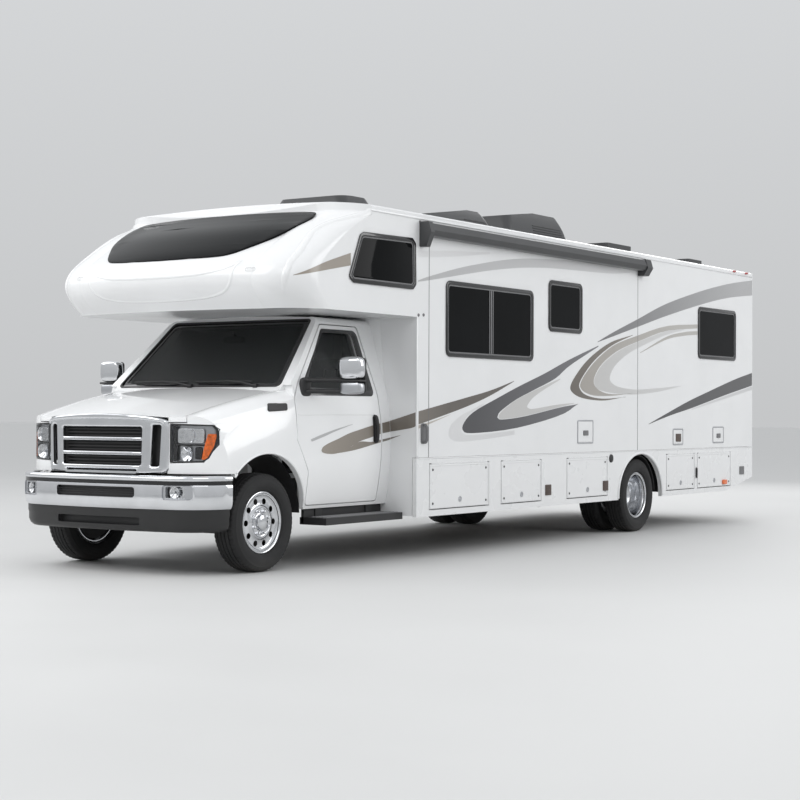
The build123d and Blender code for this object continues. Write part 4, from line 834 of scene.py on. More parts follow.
def build_grille():
    """Chrome surround with its brow and bars, the dark slats behind it and the lip of the hood."""
    cuts = spread(-0.60, 0.60, 31)
    other_slot = [(-u, v) for u, v in reversed(side_slot)]
    holes = [rounded(grille_opening, 0.018), rounded(side_slot, 0.014), rounded(other_slot, 0.014)]
    holes.append(rounded(rectangle(*grille_slit), 0.007))
    surround = plate(rounded(grille_outline, grille_radii), 0.044, 0.014, on_grille(0.044), holes, cuts)
    bars = []
    for z in bar_heights:
        corners = (-0.412, z - bar_half, 0.412, z + bar_half)
        bars.append(tile(corners, 0.004, 0.032, 0.012, on_grille(0.036), cuts))
    foot, top = [smooth_line(mirrored(line), 40) for line in (brow_foot, brow_top)]
    brow = plate([tuple(p) for p in [*foot, *reversed(top)]], 0.060, 0.014, on_grille(0.040), (), cuts)
    piece("grille_surround", joined(surround, brow, *bars), chrome, replaced=["grille"])
    slats = [plate(rectangle(-0.585, 0.768, 0.585, 1.150), 0.006, 0.002, on_grille(0.084), (), cuts)]
    for z in spread(0.828, 1.088, 11):
        slats.append(plate(rectangle(-0.41, z, 0.41, z + 0.012), 0.02, 0.003, on_grille(0.066), (), cuts))
    piece("grille_slats", joined(*slats), black_trim)
    lip = band([(-0.60, 0), (0, 0), (0.60, 0)], [(-0.60, 1), (0, 1), (0.60, 1)], on_lip)
    piece("hood_lip", lip, cab_white, "hood")


# Headlamp outlines: x, height
lens_corners = [(0.621, 0.845), (0.862, 0.851), (0.900, 0.878), (0.934, 0.962), (0.949, 1.04), (0.944, 1.096),
                (0.922, 1.130), (0.621, 1.137)]
lens_radii = (0.014, 0.02, 0.03, 0.05, 0.05, 0.03, 0.02, 0.014)
lamp_corner = [(0.952, 0.975), (0.966, 1.000), (0.966, 1.134), (0.915, 1.143), (0.926, 1.131), (0.947, 1.096),
               (0.951, 1.040)]
turn_corners = [(0.852, 0.868), (0.888, 0.872), (0.902, 0.896), (0.926, 0.972), (0.937, 1.062),
                (0.889, 1.062), (0.866, 0.954)]
# Height shifts of the rays that look past the gaps round the lamp
gap_steps = (0, 0.008, -0.008, 0.020, -0.020)
lamp_depth = 0.055
bowl_wall = 0.003
# Reflector bowls: x, height, radius
bowl_table = [(0.765, 1.046, 0.052), (0.747, 0.913, 0.056)]
# Bowl and bulb: distance along the axis, radius
bowl_profile = [(0.0, 0.012), (0.004, 0.020), (0.010, 0.032), (0.020, 0.048), (0.028, 0.060), (0.032, 0.066)]
bulb_profile = [(0.0, 0.0), (0.0, 0.010), (0.016, 0.011), (0.022, 0.008), (0.025, 0.0)]
upper_reflector = (0.672, 0.992, 0.862, 1.102)
# Dark mask round the reflectors: opposite corners, corner radius, depth, distance behind the skin
mask_table = [((0.640, 0.972, 0.862, 0.986), 0.005, 0.020, 0.030),
              ((0.634, 0.862, 0.664, 1.120), 0.005, 0.010, 0.030),
              ((0.800, 0.872, 0.846, 0.965), 0.012, 0.010, 0.036)]


def bowl_of(profile, steps):
    """Thin reflector bowl about the X axis."""
    return lathe(profile + [(depth - bowl_wall, r) for depth, r in reversed(profile)], (0, 0, 0), steps)


def build_headlamps():
    """Lens, edging, housing, reflectors and turn signal of each headlamp, and the wing's corner behind it."""
    skin = surface_of("headlamps", "front_wings")
    cuts_u, cuts_v = spread(0.64, 0.955, 16), spread(0.87, 1.12, 8)

    def behind(depth):
        def place(u, v, out):
            starts = [Vector((u, ray_front, v + shift)) for shift in gap_steps]
            spots = [skin.ray_cast(start, Vector((0, 1, 0)))[0] for start in starts]
            return Vector((u, min(spot.y for spot in spots if spot) + depth - out, v))
        return place
    lens = plate(rounded(lens_corners, lens_radii), 0.005, 0.002, behind(0.005), (), cuts_u, cuts_v)
    both_sides("headlamp_lens", lens, lens_clear, replaced=["headlamps"])
    edge = border(lens_corners, 0.011, (lens_radii, 0.012), 0.006, 0.002, behind(0.0055), cuts_u, cuts_v)
    both_sides("headlamp_edging", edge, black_gloss)
    corner = plate(lamp_corner, 0.006, 0.001, behind(0.005), (), cuts_u, cuts_v)
    both_sides("lamp_corner", corner, cab_white)
    small = inset(lens_corners, 0.004)
    back = plate(rounded(small, 0.012), 0.006, 0.002, behind(lamp_depth), (), cuts_u, cuts_v)
    walls = border(small, 0.004, (0.012, 0.012), lamp_depth - 0.008, 0.001, behind(lamp_depth), cuts_u,
                   cuts_v)
    both_sides("headlamp_housing", joined(back, walls), satin_metal)
    bowls = []
    for x, z, radius in bowl_table:
        profile = [(depth, r * radius / bowl_profile[-1][1]) for depth, r in bowl_profile]
        face = behind(0.018)(x, z, 0).y
        turn = Matrix.Translation((x, face + 0.032, z)) @ Matrix.Rotation(math.radians(-90), 4, "Z")
        for shape in (bowl_of(profile, 40), lathe(bulb_profile, (0, 0, 0), 24)):
            shape.transform(turn)
            bowls.append(shape)
    upper = tile(upper_reflector, 0.02, 0.020, 0.004, behind(0.040), cuts_u)
    both_sides("headlamp_reflectors", joined(*bowls, upper), reflector)
    mask = [tile(corners, radius, depth, 0.003, behind(set_back), cuts_u)
            for corners, radius, depth, set_back in mask_table]
    both_sides("headlamp_mask", joined(*mask), black_trim)
    signal = plate(rounded(turn_corners, 0.008), 0.008, 0.002, behind(0.013), (), cuts_u, cuts_v)
    both_sides("turn_lens", signal, amber)


# Bumper plan: station of its middle, then (x, station) of the nose's end, the corner and the tip
bumper_middle = -0.850
bumper_nose = (0.700, -0.792)
bumper_corner = (0.928, -0.655)
bumper_tip = (1.018, -0.432)
corner_share = 0.7
slot_face = -0.795
slot_bow = 0.03
# Bumper and valance sections: distance out from the plan, height
bumper_section = [
    (-0.056, 0.742), (-0.050, 0.750), (-0.024, 0.752), (-0.010, 0.747), (-0.002, 0.737), (0.0, 0.724),
    (-0.004, 0.714), (-0.014, 0.706), (-0.017, 0.697), (-0.013, 0.689), (-0.004, 0.682), (0.0, 0.668),
    (0.0, 0.566), (-0.003, 0.536), (-0.010, 0.514), (-0.020, 0.502), (-0.030, 0.500), (-0.036, 0.506),
    (-0.036, 0.735),
]
# Black strip in the bumper's groove: the groove is real, its black colour is a painted dark reflection along
# the chrome's top band
reflection_strip_section = [(-0.005, 0.684), (-0.005, 0.712), (-0.018, 0.712), (-0.018, 0.684)]
valance_section = [(0.0, 0.500), (0.0, 0.452), (-0.006, 0.436), (-0.006, 0.384), (-0.020, 0.352),
                   (-0.044, 0.333), (-0.056, 0.330), (-0.058, 0.340), (-0.034, 0.370), (-0.030, 0.500)]
valance_inset = 0.028
# Bars that slant off the ends: station, height
bumper_cut = [(-0.552, 0.490), (-0.30, 0.490), (-0.30, 0.780), (-0.414, 0.780)]
valance_cut = [(-0.640, 0.320), (-0.30, 0.320), (-0.30, 0.510), (-0.544, 0.510)]
# Opposite corners as x and height: slots, the plate behind the bumper's, and the fog lamps' parts
bumper_slot = (-0.40, 0.586, 0.40, 0.664)
slot_plate = (-0.41, 0.578, 0.41, 0.672)
valance_slot = (-0.42, 0.378, 0.42, 0.436)
fog_hole = (0.645, 0.576, 0.868, 0.682)
fog_rim = (0.645, 0.577, 0.868, 0.681)
fog_opening = (0.668, 0.587, 0.815, 0.672)
fog_glass = (0.664, 0.584, 0.819, 0.675)
# Fog lamp's middle as x and height, and its bowl as distance along the axis and radius
fog_centre = (0.735, 0.630)
fog_bowl = [(0.0, 0.010), (0.006, 0.022), (0.014, 0.034), (0.018, 0.040)]


def bumper_path(back):
    """Plan of the bumper's outer face, drawn in from it by back."""
    nose = (bumper_nose[0], bumper_nose[1] + back)
    corner = (bumper_corner[0] - back * corner_share, bumper_corner[1] + back * corner_share)
    front = arc((-nose[0], nose[1]), (0, bumper_middle + back), nose, 25)
    left = arc(nose, corner, (bumper_tip[0] - back, bumper_tip[1]), 17)
    right = [(-x, s) for x, s in reversed(left)]
    return [(x, at(s)) for x, s in right[:-1] + front + left[1:]]


def bumper_box(corners, radius, from_station=-0.95, to_station=-0.60):
    """Bar through the bumper face with rounded corners."""
    return tile(corners, radius, to_station - from_station, 0.001, facing_front(to_station))


def bumper_end(corners):
    """Bar that slants off the left end of the bumper, from (station, height) corners."""
    return plate(corners, 0.5, 0.001, lambda u, v, out: Vector((0.80 + out, at(u), v)))


def on_slot(u, v, out):
    """Place on the bowed plate behind the bumper's slot."""
    return Vector((u, at(slot_face) + slot_bow * (u / bumper_nose[0]) ** 2 - out, v))


def behind_bumper(depth):
    """Place behind the bumper's face: u is x, v a height."""
    plan = bumper_path(0.0)

    def place(u, v, out):
        after = next(index for index, spot in enumerate(plan) if spot[0] > u)
        (low_x, low_y), (high_x, high_y) = plan[after - 1], plan[after]
        return Vector((u, low_y + (high_y - low_y) * (u - low_x) / (high_x - low_x) + depth - out, v))
    return place


def build_bumper():
    """Chrome bumper with its groove, a black strip in the groove that paints the dark reflection along the
    chrome, and the dark slot in its middle.
    """
    slot = bumper_box(bumper_slot, 0.024)
    fog = bumper_box(fog_hole, 0.020, to_station=-0.58)
    end = bumper_end(bumper_cut)
    shell = cut_out(sweep(bumper_path(0.0), bumper_section), slot, fog, flipped(fog), end, flipped(end))
    piece("chrome_bumper", shell, chrome, replaced=["front_bumper"])
    # The black strip in the groove paints the dark reflection along the chrome
    groove = sweep(bumper_path(0.0), reflection_strip_section)
    piece("bumper_painted_reflection_strip", cut_out(groove, end, flipped(end)), black_gloss)
    shapes = [tile(slot_plate, 0.024, 0.006, 0.002, on_slot, spread(-0.4, 0.4, 9))]
    for z in spread(0.600, 0.654, 4):
        shapes.append(block((-0.40, at(-0.806), z), (0.40, at(-0.796), z + 0.007), 0.002))
    for x in (-0.43, 0.43):
        shapes.append(block((x - 0.035, at(-0.80), 0.545), (x + 0.035, at(-0.64), 0.680)))
    piece("bumper_slot", joined(*shapes), black_trim)


def build_fog_lamps():
    """Fog lamps in the bumper's outer openings."""
    cuts = spread(0.66, 0.86, 9)
    bowl = bowl_of(fog_bowl, 32)
    centre = behind_bumper(0.034)(*fog_centre, 0)
    bowl.transform(Matrix.Translation(centre) @ Matrix.Rotation(math.radians(-75), 4, "Z"))
    housing = tile(fog_rim, 0.018, 0.005, 0.001, behind_bumper(0.060), cuts)
    both_sides("fog_lamp", joined(bowl, housing), reflector)
    opening = rounded(rectangle(*fog_opening), 0.014)
    bezel = plate(rounded(rectangle(*fog_rim), 0.018), 0.030, 0.003, behind_bumper(0.040), [opening], cuts)
    both_sides("fog_bezel", bezel, satin_metal)
    lens = tile(fog_glass, 0.014, 0.004, 0.001, behind_bumper(0.020), cuts)
    both_sides("fog_lens", lens, lens_clear)


def build_valance():
    """Lower valance, tucked under the chrome."""
    slot = bumper_box(valance_slot, 0.012)
    end = bumper_end(valance_cut)
    shell = cut_out(sweep(bumper_path(valance_inset), valance_section), slot, end, flipped(end))
    piece("lower_valance", shell, valance_black, replaced=["bumper_valance"])
    backing = block((-0.43, at(-0.755), 0.366), (0.43, at(-0.745), 0.448))
    piece("valance_backing", backing, black_trim)


# Cab sides: (station, height) corners of the wing's vent, the door glass and the black border round it
wing_vent = [(0.030, 1.228), (0.262, 1.240), (0.268, 1.296), (0.052, 1.290)]
door_window = [(0.480, 1.420), (1.400, 1.400), (1.352, 1.890), (0.930, 1.890)]
door_border = [(0.470, 1.362), (1.474, 1.362), (1.418, 1.912), (0.930, 1.912)]
door_border_radii = (0.03, 0.05, 0.06, 0.05)
glass_inset = 0.006
arch_radius, arch_z = 0.524, 0.390
# Pull handle at the door's rear edge: height, distance out
handle_station = 1.438
handle_grip = [(0.985, 0.002), (1.000, 0.026), (1.090, 0.032), (1.180, 0.026), (1.195, 0.002)]


def on_glass():
    """Place on the plane of a cab door's glass, which leans inward: u is a station, v a height."""
    doors = surface_of("cab_door_left")
    belt, roof = from_left(doors, 1.46, 1.38)[0], from_left(doors, 1.43, 1.90)[0]

    def place(u, v, out):
        share = (v - belt.z) / (roof.z - belt.z)
        return Vector((belt.x + (roof.x - belt.x) * share - glass_inset + out, at(u), v))
    return place


def build_cab_trim():
    """Arch lips, wing vents, and the borders, handles and creases of the cab doors."""
    wings = surface_of("front_wings", "cab_body", "hood")
    lip_place = laid_on(wings, 0.001)
    points = []
    for angle in spread(math.radians(-4), math.radians(152), 44):
        points.append(lip_place(arch_radius * math.cos(angle), arch_z + arch_radius * math.sin(angle), 0))
    both_sides("arch_lip", tube(points, 0.009, 2), cab_white)
    vent = plate(rounded(wing_vent, 0.016), 0.012, 0.004, laid_on(wings, -0.002), (), spread(0.06, 0.25, 8))
    both_sides("wing_vent", vent, black_trim)
    doors = surface_of("cab_door_left", "cab_body", "cab_glass_left")

    def on_door(u, v, out):
        return from_left(doors, u, v)[0] + Vector((out, 0, 0))
    opening = rounded(inset(door_window, 0.010), 0.04)
    seal = plate(rounded(door_border, door_border_radii), 0.010, 0.003, on_glass(), [opening])
    both_sides("door_glass_seal", seal, black_gloss, "cab_door_{side}")
    grip = smooth_line([on_door(handle_station, z, out) for z, out in handle_grip], 20)
    base = tile((1.416, 0.978, 1.461, 1.200), 0.018, 0.006, 0.002, on_door, (handle_station,),
                spread(1.0, 1.18, 6))
    both_sides("door_handle", joined(tube(grip, 0.016), base), black_trim, "cab_door_{side}")
    crease = [on_door(s, 1.205 + 0.004 * math.sin(s), 0) for s in spread(0.40, 1.50, 24)]
    both_sides("door_crease", tube(crease, 0.004, 1), cab_white, "cab_door_{side}")


# Windscreen plane: two points of its rake as (station, height)
screen_base = (0.330, 1.425)
screen_top = (0.905, 1.985)
screen_half_foot, screen_half_top = 0.850, 0.728
glass_face = -0.010
cowl_half = 0.84
cowl_rear = 0.338
# Wipers: x of the pivot, x of the tip
wiper_table = [(0.62, -0.02), (-0.06, -0.70)]
wiper_pivot = [(-0.02, 0.0), (-0.02, 0.018), (0.02, 0.018), (0.02, 0.0)]


def on_screen(stand_off):
    """Place on the raked windscreen: u is x, v runs up the glass from its foot."""
    rise = Vector((0, screen_top[0] - screen_base[0], screen_top[1] - screen_base[1])).normalized()
    normal = Vector((0, -rise.z, rise.y))
    foot = Vector((0, at(screen_base[0]), screen_base[1]))
    return lambda u, v, out: foot + Vector((u, 0, 0)) + rise * v + normal * (out + stand_off)


def build_screen_trim():
    """Black band, seal and wipers of the windscreen, and the cowl at its foot."""
    height = math.dist(screen_base, screen_top)
    corners = [(-screen_half_foot, 0.012), (screen_half_foot, 0.012), (screen_half_top, height),
               (-screen_half_top, height)]
    edge = border(inset(corners, 0.002), 0.040, (0.040, 0.040), 0.004, 0.001, on_screen(glass_face))
    piece("screen_edge_band", edge, black_gloss)
    seal = border(inset(corners, -0.012), 0.018, (0.045, 0.040), 0.010, 0.004, on_screen(-0.006))
    piece("screen_seal", seal, black_trim)
    place = on_screen(glass_face + 0.008)
    wipers = []
    for foot_x, tip_x in wiper_table:
        foot, tip = place(foot_x, 0.005, 0.012), place(tip_x, 0.06, 0.01)
        middle = place((foot_x + tip_x) / 2, 0.055, 0.022)
        blade = [place(foot_x - 0.06, 0.060, 0.008), middle - Vector((0, 0, 0.004)), tip]
        wipers.append(tube([foot, foot.lerp(middle, 0.5) + Vector((0, 0, 0.008)), middle], 0.009, 2))
        wipers.append(tube(blade, 0.007, 2))
        wipers.append(lathe(shifted(wiper_pivot, foot_x), (0, foot.y, foot.z), 20))
    piece("wipers", joined(*wipers), black_trim)
    bm = bmesh.new()
    rings = []
    for x in spread(-cowl_half, cowl_half, 21):
        front = 0.286 + 0.018 * (x / cowl_half) ** 2
        section = ((front, 1.402), (front + 0.030, 1.416), (cowl_rear, 1.424), (cowl_rear, 1.380),
                   (front, 1.380))
        rings.append([bm.verts.new((x, at(station), z)) for station, z in section])
    bridge(bm, rings)
    piece("cowl", mesh_of(bm), black_trim)


def build_mirrors():
    """Two-part mirror housings with their glass, seam and arms."""
    inner_x, outer_x = 1.176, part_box("mirror_left")[1].x
    front, back = 0.655, 0.765
    top, split, foot_z = 1.672, 1.480, 1.368
    body = "cab_door_{side}"
    cap = soft_block((inner_x, at(front), split), (outer_x, at(back), top), 3)
    both_sides("mirror_cap", cap, chrome, body, 60, ["mirror_{side}"])
    lower = soft_block((inner_x + 0.004, at(front + 0.006), foot_z),
                       (outer_x - 0.004, at(back - 0.004), split - 0.008), 3)
    both_sides("mirror_lower", lower, satin_metal, body, 60)
    corners = (inner_x + 0.012, foot_z + 0.010, outer_x - 0.012, top - 0.012)
    mount = [tile(corners, 0.03, 0.016, 0.005, facing_rear(back - 0.016))]
    mount.append(block((inner_x + 0.010, at(front + 0.010), split - 0.012),
                       (outer_x - 0.010, at(back - 0.006), split + 0.004)))
    mount.append(soft_block((0.936, at(0.455), 1.345), (0.985, at(0.600), 1.505), 2, 0.2))
    for z in (1.392, 1.482):
        mount.append(tube([(0.960, at(0.520), z), (1.07, at(0.60), z), (1.20, at(0.700), z)], 0.019))
    both_sides("mirror_mount", joined(*mount), black_trim, body)
    faces = []
    for low_z, high_z in ((split + 0.010, top - 0.024), (foot_z + 0.020, split - 0.010)):
        corners = (inner_x + 0.022, low_z, outer_x - 0.022, high_z)
        faces.append(tile(corners, 0.02, 0.004, 0.001, facing_rear(back - 0.002)))
    both_sides("mirror_face", joined(*faces), mirror_glass, body)


# Films on the walls: name, finish, then the (station, height) points of both edges
wall_films = [
    ("sweep_upper", pale_grey_film,
     [(1.68, 2.335), (1.89, 2.39), (2.56, 2.53), (3.50, 2.66), (4.86, 2.72), (5.66, 2.69)],
     [(1.68, 2.325), (1.89, 2.355), (2.98, 2.52), (3.86, 2.60), (5.16, 2.64), (5.66, 2.68)]),
    ("sweep_under_awning", soft_grey_film,
     [(1.68, 2.585), (2.20, 2.625), (2.85, 2.665)],
     [(1.68, 2.535), (2.20, 2.575), (2.85, 2.650)]),
    ("sweep_rear_upper", mid_grey_film,
     [(4.94, 1.942), (5.28, 2.05), (5.84, 2.21), (6.54, 2.41), (7.49, 2.61), (8.20, 2.73), (8.91, 2.82)],
     [(4.94, 1.938), (5.28, 2.01), (5.84, 2.13), (6.54, 2.28), (7.49, 2.46), (8.20, 2.57), (8.91, 2.64)]),
    ("hook_shadow", soft_grey_film,
     [(2.75, 1.31), (2.36, 1.20), (2.18, 1.09), (2.22, 1.00), (2.48, 0.98), (3.30, 1.03)],
     [(2.76, 1.30), (2.50, 1.21), (2.395, 1.11), (2.40, 1.05), (2.62, 1.035), (3.30, 1.07)]),
    ("hook_dark", dark_grey_film,
     [(4.96, 1.905), (4.36, 1.75), (3.87, 1.605), (3.40, 1.48), (3.02, 1.37), (2.59, 1.24), (2.42, 1.14),
      (2.41, 1.07), (2.59, 1.05), (3.32, 1.09), (4.17, 1.21), (4.53, 1.322)],
     [(4.96, 1.895), (4.36, 1.69), (4.07, 1.56), (3.64, 1.44), (3.32, 1.35), (3.06, 1.25), (3.00, 1.205),
      (3.005, 1.18), (3.10, 1.17), (3.50, 1.20), (4.17, 1.285), (4.53, 1.318)]),
    ("hook_fill", light_taupe_film,
     [(4.17, 1.562), (3.64, 1.435), (3.32, 1.345), (3.07, 1.245), (3.012, 1.19), (3.10, 1.175), (3.50, 1.205),
      (4.17, 1.29), (4.45, 1.325)],
     [(4.17, 1.552), (3.82, 1.44), (3.64, 1.37), (3.56, 1.32), (3.53, 1.29), (3.56, 1.275), (3.66, 1.27),
      (4.10, 1.31), (4.45, 1.33)]),
    ("curl_dark", taupe_film,
     [(5.73, 2.042), (5.30, 1.965), (5.01, 1.875), (4.72, 1.75), (4.50, 1.61), (4.38, 1.50), (4.40, 1.44),
      (4.55, 1.39), (4.80, 1.365), (5.12, 1.36), (5.57, 1.402)],
     [(5.73, 2.038), (5.35, 1.945), (5.08, 1.85), (4.83, 1.73), (4.64, 1.60), (4.56, 1.52), (4.57, 1.47),
      (4.66, 1.42), (4.85, 1.388), (5.12, 1.378), (5.57, 1.398)]),
    ("curl_mid", mid_taupe_film,
     [(7.345, 2.225), (6.54, 2.17), (5.84, 2.04), (5.37, 1.94), (5.10, 1.845), (4.85, 1.725), (4.66, 1.60),
      (4.58, 1.52), (4.59, 1.475), (4.68, 1.435), (4.90, 1.405), (5.30, 1.41), (5.70, 1.442)],
     [(7.345, 2.18), (6.54, 2.12), (5.90, 1.99), (5.50, 1.90), (5.25, 1.82), (5.03, 1.72), (4.90, 1.62),
      (4.86, 1.55), (4.89, 1.50), (4.98, 1.46), (5.15, 1.43), (5.40, 1.425), (5.70, 1.438)]),
    ("curl_light", light_taupe_film,
     [(7.00, 2.158), (6.54, 2.118), (5.90, 1.985), (5.51, 1.895), (5.26, 1.815), (5.04, 1.715), (4.91, 1.615),
      (4.87, 1.55), (4.90, 1.50), (5.00, 1.46), (5.40, 1.43), (5.85, 1.43), (6.40, 1.47), (6.91, 1.53)],
     [(7.00, 2.150), (6.50, 2.07), (6.00, 1.95), (5.70, 1.87), (5.48, 1.79), (5.32, 1.71), (5.23, 1.63),
      (5.21, 1.58), (5.25, 1.54), (5.38, 1.505), (5.60, 1.485), (5.85, 1.48), (6.40, 1.505), (6.91, 1.535)]),
    ("curl_arm", mid_taupe_film,
     [(5.90, 1.865), (6.54, 2.055), (7.00, 2.125), (7.345, 2.150)],
     [(5.90, 1.860), (6.54, 2.025), (7.00, 2.085), (7.345, 2.110)]),
    ("sweep_rear_lower", rear_grey_film,
     [(6.11, 1.122), (7.03, 1.35), (7.64, 1.48), (8.38, 1.63), (8.91, 1.72)],
     [(6.11, 1.118), (6.63, 1.21), (7.23, 1.30), (8.07, 1.44), (8.91, 1.57)]),
    ("sweep_rear_shadow", soft_grey_film,
     [(7.20, 1.285), (8.07, 1.43), (8.91, 1.56)],
     [(7.20, 1.275), (8.07, 1.40), (8.91, 1.52)]),
    ("sweep_front", cab_taupe_film,
     [(1.672, 1.235), (1.86, 1.265), (2.45, 1.36), (2.87, 1.43), (3.29, 1.522)],
     [(1.672, 1.125), (1.86, 1.16), (2.45, 1.28), (2.87, 1.385), (3.29, 1.518)]),
    ("sweep_front_tail", cab_beige_film,
     [(1.672, 1.118), (1.90, 1.155), (2.20, 1.215)],
     [(1.672, 1.088), (1.90, 1.140), (2.20, 1.213)]),
]
# Films on the coach's front return beside the cab: (x, height) points of both edges
return_films = [
    ([(1.00, 1.158), (1.10, 1.185), (1.23, 1.222), (1.268, 1.233)],
     [(1.00, 1.066), (1.10, 1.080), (1.23, 1.102), (1.268, 1.124)]),
    ([(1.00, 1.016), (1.06, 1.028), (1.11, 1.038)], [(1.00, 1.000), (1.06, 1.020), (1.11, 1.037)]),
]
# Films on the cab: name, finish, body, then the (station, height) points of both edges
cab_films = [
    ("cab_sweep", cab_taupe_film, "cab_door_{side}",
     [(0.690, 0.925), (0.713, 0.951), (0.797, 0.982), (0.907, 1.010), (1.07, 1.056), (1.236, 1.088),
      (1.393, 1.117), (1.525, 1.136)],
     [(0.690, 0.922), (0.708, 0.905), (0.787, 0.893), (0.909, 0.897), (1.07, 0.940), (1.22, 0.989),
      (1.362, 1.017), (1.525, 1.050)]),
    ("cab_sweep_tail", cab_taupe_film, "cab_door_{side}",
     [(0.86, 0.898), (1.07, 0.940), (1.22, 0.986), (1.387, 0.983), (1.525, 1.000)],
     [(0.86, 0.893), (1.07, 0.910), (1.22, 0.929), (1.387, 0.956), (1.525, 0.978)]),
    ("cab_line", pale_grey_film, "cab_door_{side}",
     [(0.546, 1.012), (0.702, 1.051), (0.886, 1.090), (1.125, 1.132)],
     [(0.560, 0.994), (0.725, 1.033), (0.885, 1.075), (1.125, 1.129)]),
    ("cab_sweep_rear", cab_taupe_film, "coach",
     [(1.552, 1.139), (1.60, 1.146), (1.664, 1.156)],
     [(1.552, 1.053), (1.60, 1.058), (1.664, 1.066)]),
    ("cab_tail_rear", cab_taupe_film, "coach",
     [(1.552, 1.003), (1.60, 1.008), (1.664, 1.016)],
     [(1.552, 0.982), (1.60, 0.989), (1.664, 1.000)]),
]
# Pointed stripe in front of the bunk window
cap_stripe = ([(0.06, 2.274), (0.35, 2.385), (0.71, 2.490)], [(0.06, 2.270), (0.35, 2.325), (0.71, 2.390)])
door_gap = 0.009
far_away = 99


def split_at_door(mesh, door_from, door_to):
    """Right wall graphic as three meshes: ahead of the entry door, on it and behind it."""
    parts = []
    limits = ((-far_away, door_from - door_gap), (door_from, door_to), (door_to + door_gap, far_away))
    for low, high in limits:
        bm = bmesh.new()
        bm.from_mesh(mesh)
        for edge, outside in ((low, (0, -1, 0)), (high, (0, 1, 0))):
            geometry = [*bm.verts, *bm.edges, *bm.faces]
            bmesh.ops.bisect_plane(bm, geom=geometry, plane_co=(0, edge, 0), plane_no=outside,
                                   clear_outer=True)
        bmesh.ops.holes_fill(bm, edges=bm.edges)
        parts.append(mesh_of(bm))
    return parts


def build_wall_films():
    """Films on both walls. On the right they part at the entry door, and the door carries its own share."""
    entry_low, entry_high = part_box("entry_door")
    shares = (("right", "coach"), ("right_door", "entry_door"), ("right_rear", "coach"))
    for name, finish, first, second in wall_films:
        left = band(first, second, on_wall())
        right = split_at_door(flipped(left), entry_low.y, entry_high.y)
        piece(f"{name}_left", left, finish)
        for (label, body), shape in zip(shares, right):
            if shape.polygons:
                piece(f"{name}_{label}", shape, finish, body)


def build_cab_films():
    """Films on the coach's front return, the cab and the nose cap."""
    strips = [band(first, second, facing_front(coach_front), 12) for first, second in return_films]
    both_sides("sweep_front_return", joined(*strips), cab_taupe_film)
    on_cab = laid_on(surface_of("cab_door_left", "cab_body"), film_lift)
    for name, finish, body, first, second in cab_films:
        both_sides(name, band(first, second, on_cab, 32), finish, body)
    on_cap = laid_on(surface_of("front_cap"), film_lift)
    both_sides("cap_stripe", band(*cap_stripe, on_cap, 24), cab_taupe_film)


# Coach windows: name, (station, height) corners, corner radius, whether the right side has it too
window_table = [
    ("bunk_window", [(0.676, 2.296), (0.745, 2.254), (1.600, 2.254), (1.644, 2.298), (1.636, 2.642),
                     (1.588, 2.684), (0.880, 2.672), (0.832, 2.648)], 0.034, True),
    ("lounge_window", rectangle(2.115, 1.710, 3.634, 2.368), 0.060, True),
    ("galley_window", rectangle(3.930, 2.004, 4.605, 2.494), 0.060, False),
    ("bed_window", rectangle(7.353, 1.845, 8.408, 2.425), 0.060, True),
]
rear_window = rectangle(-0.52, 1.85, 0.52, 2.35)
frame_width = 0.034
sash_width = 0.014
lounge_mullion = 2.875
# Upright bars of the lounge window: distance from the mullion, half width
lounge_bars = [(0.0, 0.010), (0.030, 0.006), (-0.030, 0.006)]


def build_windows():
    """Frames and sashes of the coach windows, and the bunk's longer glass."""
    frames = []
    sashes = []
    for name, corners, radius, on_both in window_table:
        inner_radius = max(radius - 0.024, 0.016)
        ring = border(corners, frame_width, (radius, inner_radius), 0.012, 0.004, on_wall())
        if name == "bunk_window":
            glass = plate(rounded(inset(corners, 0.020), 0.020), 0.003, 0.001, on_wall())
            both_sides("bunk_glass", glass, coach_glass)
        sash_radii = (inner_radius, max(radius - 0.030, 0.012))
        sash_corners = inset(corners, frame_width - 0.002)
        shapes = [border(sash_corners, sash_width, sash_radii, 0.005, 0.002, on_wall())]
        if name == "lounge_window":
            low_z, high_z = corners[0][1] + frame_width, corners[2][1] - frame_width
            for offset, half in lounge_bars:
                first, last = lounge_mullion + offset - half, lounge_mullion + offset + half
                shapes.append(wall_block(first, low_z, last, high_z, 0, 0.006, 0.002))
        sash = joined(*shapes)
        frames.append(ring)
        sashes.append(sash)
        if on_both:
            frames.append(flipped(ring))
            sashes.append(flipped(sash))
    frames.append(border(rear_window, frame_width, (0.06, 0.036), 0.012, 0.004, facing_rear(coach_rear)))
    piece("coach_window_frames", joined(*frames), black_gloss, replaced=["window_frames"])
    piece("coach_window_sashes", joined(*sashes), grey_trim)


# Front window of the nose: (x, height) of its left half from the foot up
nose_window = [
    (0.0, 2.412), (0.35, 2.418), (0.56, 2.428), (0.66, 2.452), (0.74, 2.500), (0.82, 2.556), (0.885, 2.612),
    (0.935, 2.690), (0.960, 2.752), (0.940, 2.795), (0.86, 2.832), (0.40, 2.846), (0.0, 2.846),
]
nose_rake = 1.86
nose_foot = (-0.128, 2.418)
nose_top = 2.835
nose_bow = 0.1
# Rays that land further than this from the raked surface aren't counted
nose_reach = 0.12
# Raised edge of the nose moulding: station, height
nose_ridge = [(0.99, 2.848), (0.93, 2.825), (0.76, 2.780), (0.595, 2.730), (0.44, 2.660), (0.31, 2.570),
              (0.17, 2.460), (0.064, 2.370), (0.010, 2.250), (0.045, 2.140), (0.18, 2.052)]
ridge_sink = 0.036
# The ridge sinks further at every step after this one
ridge_turn = 46
ridge_fall = 0.001
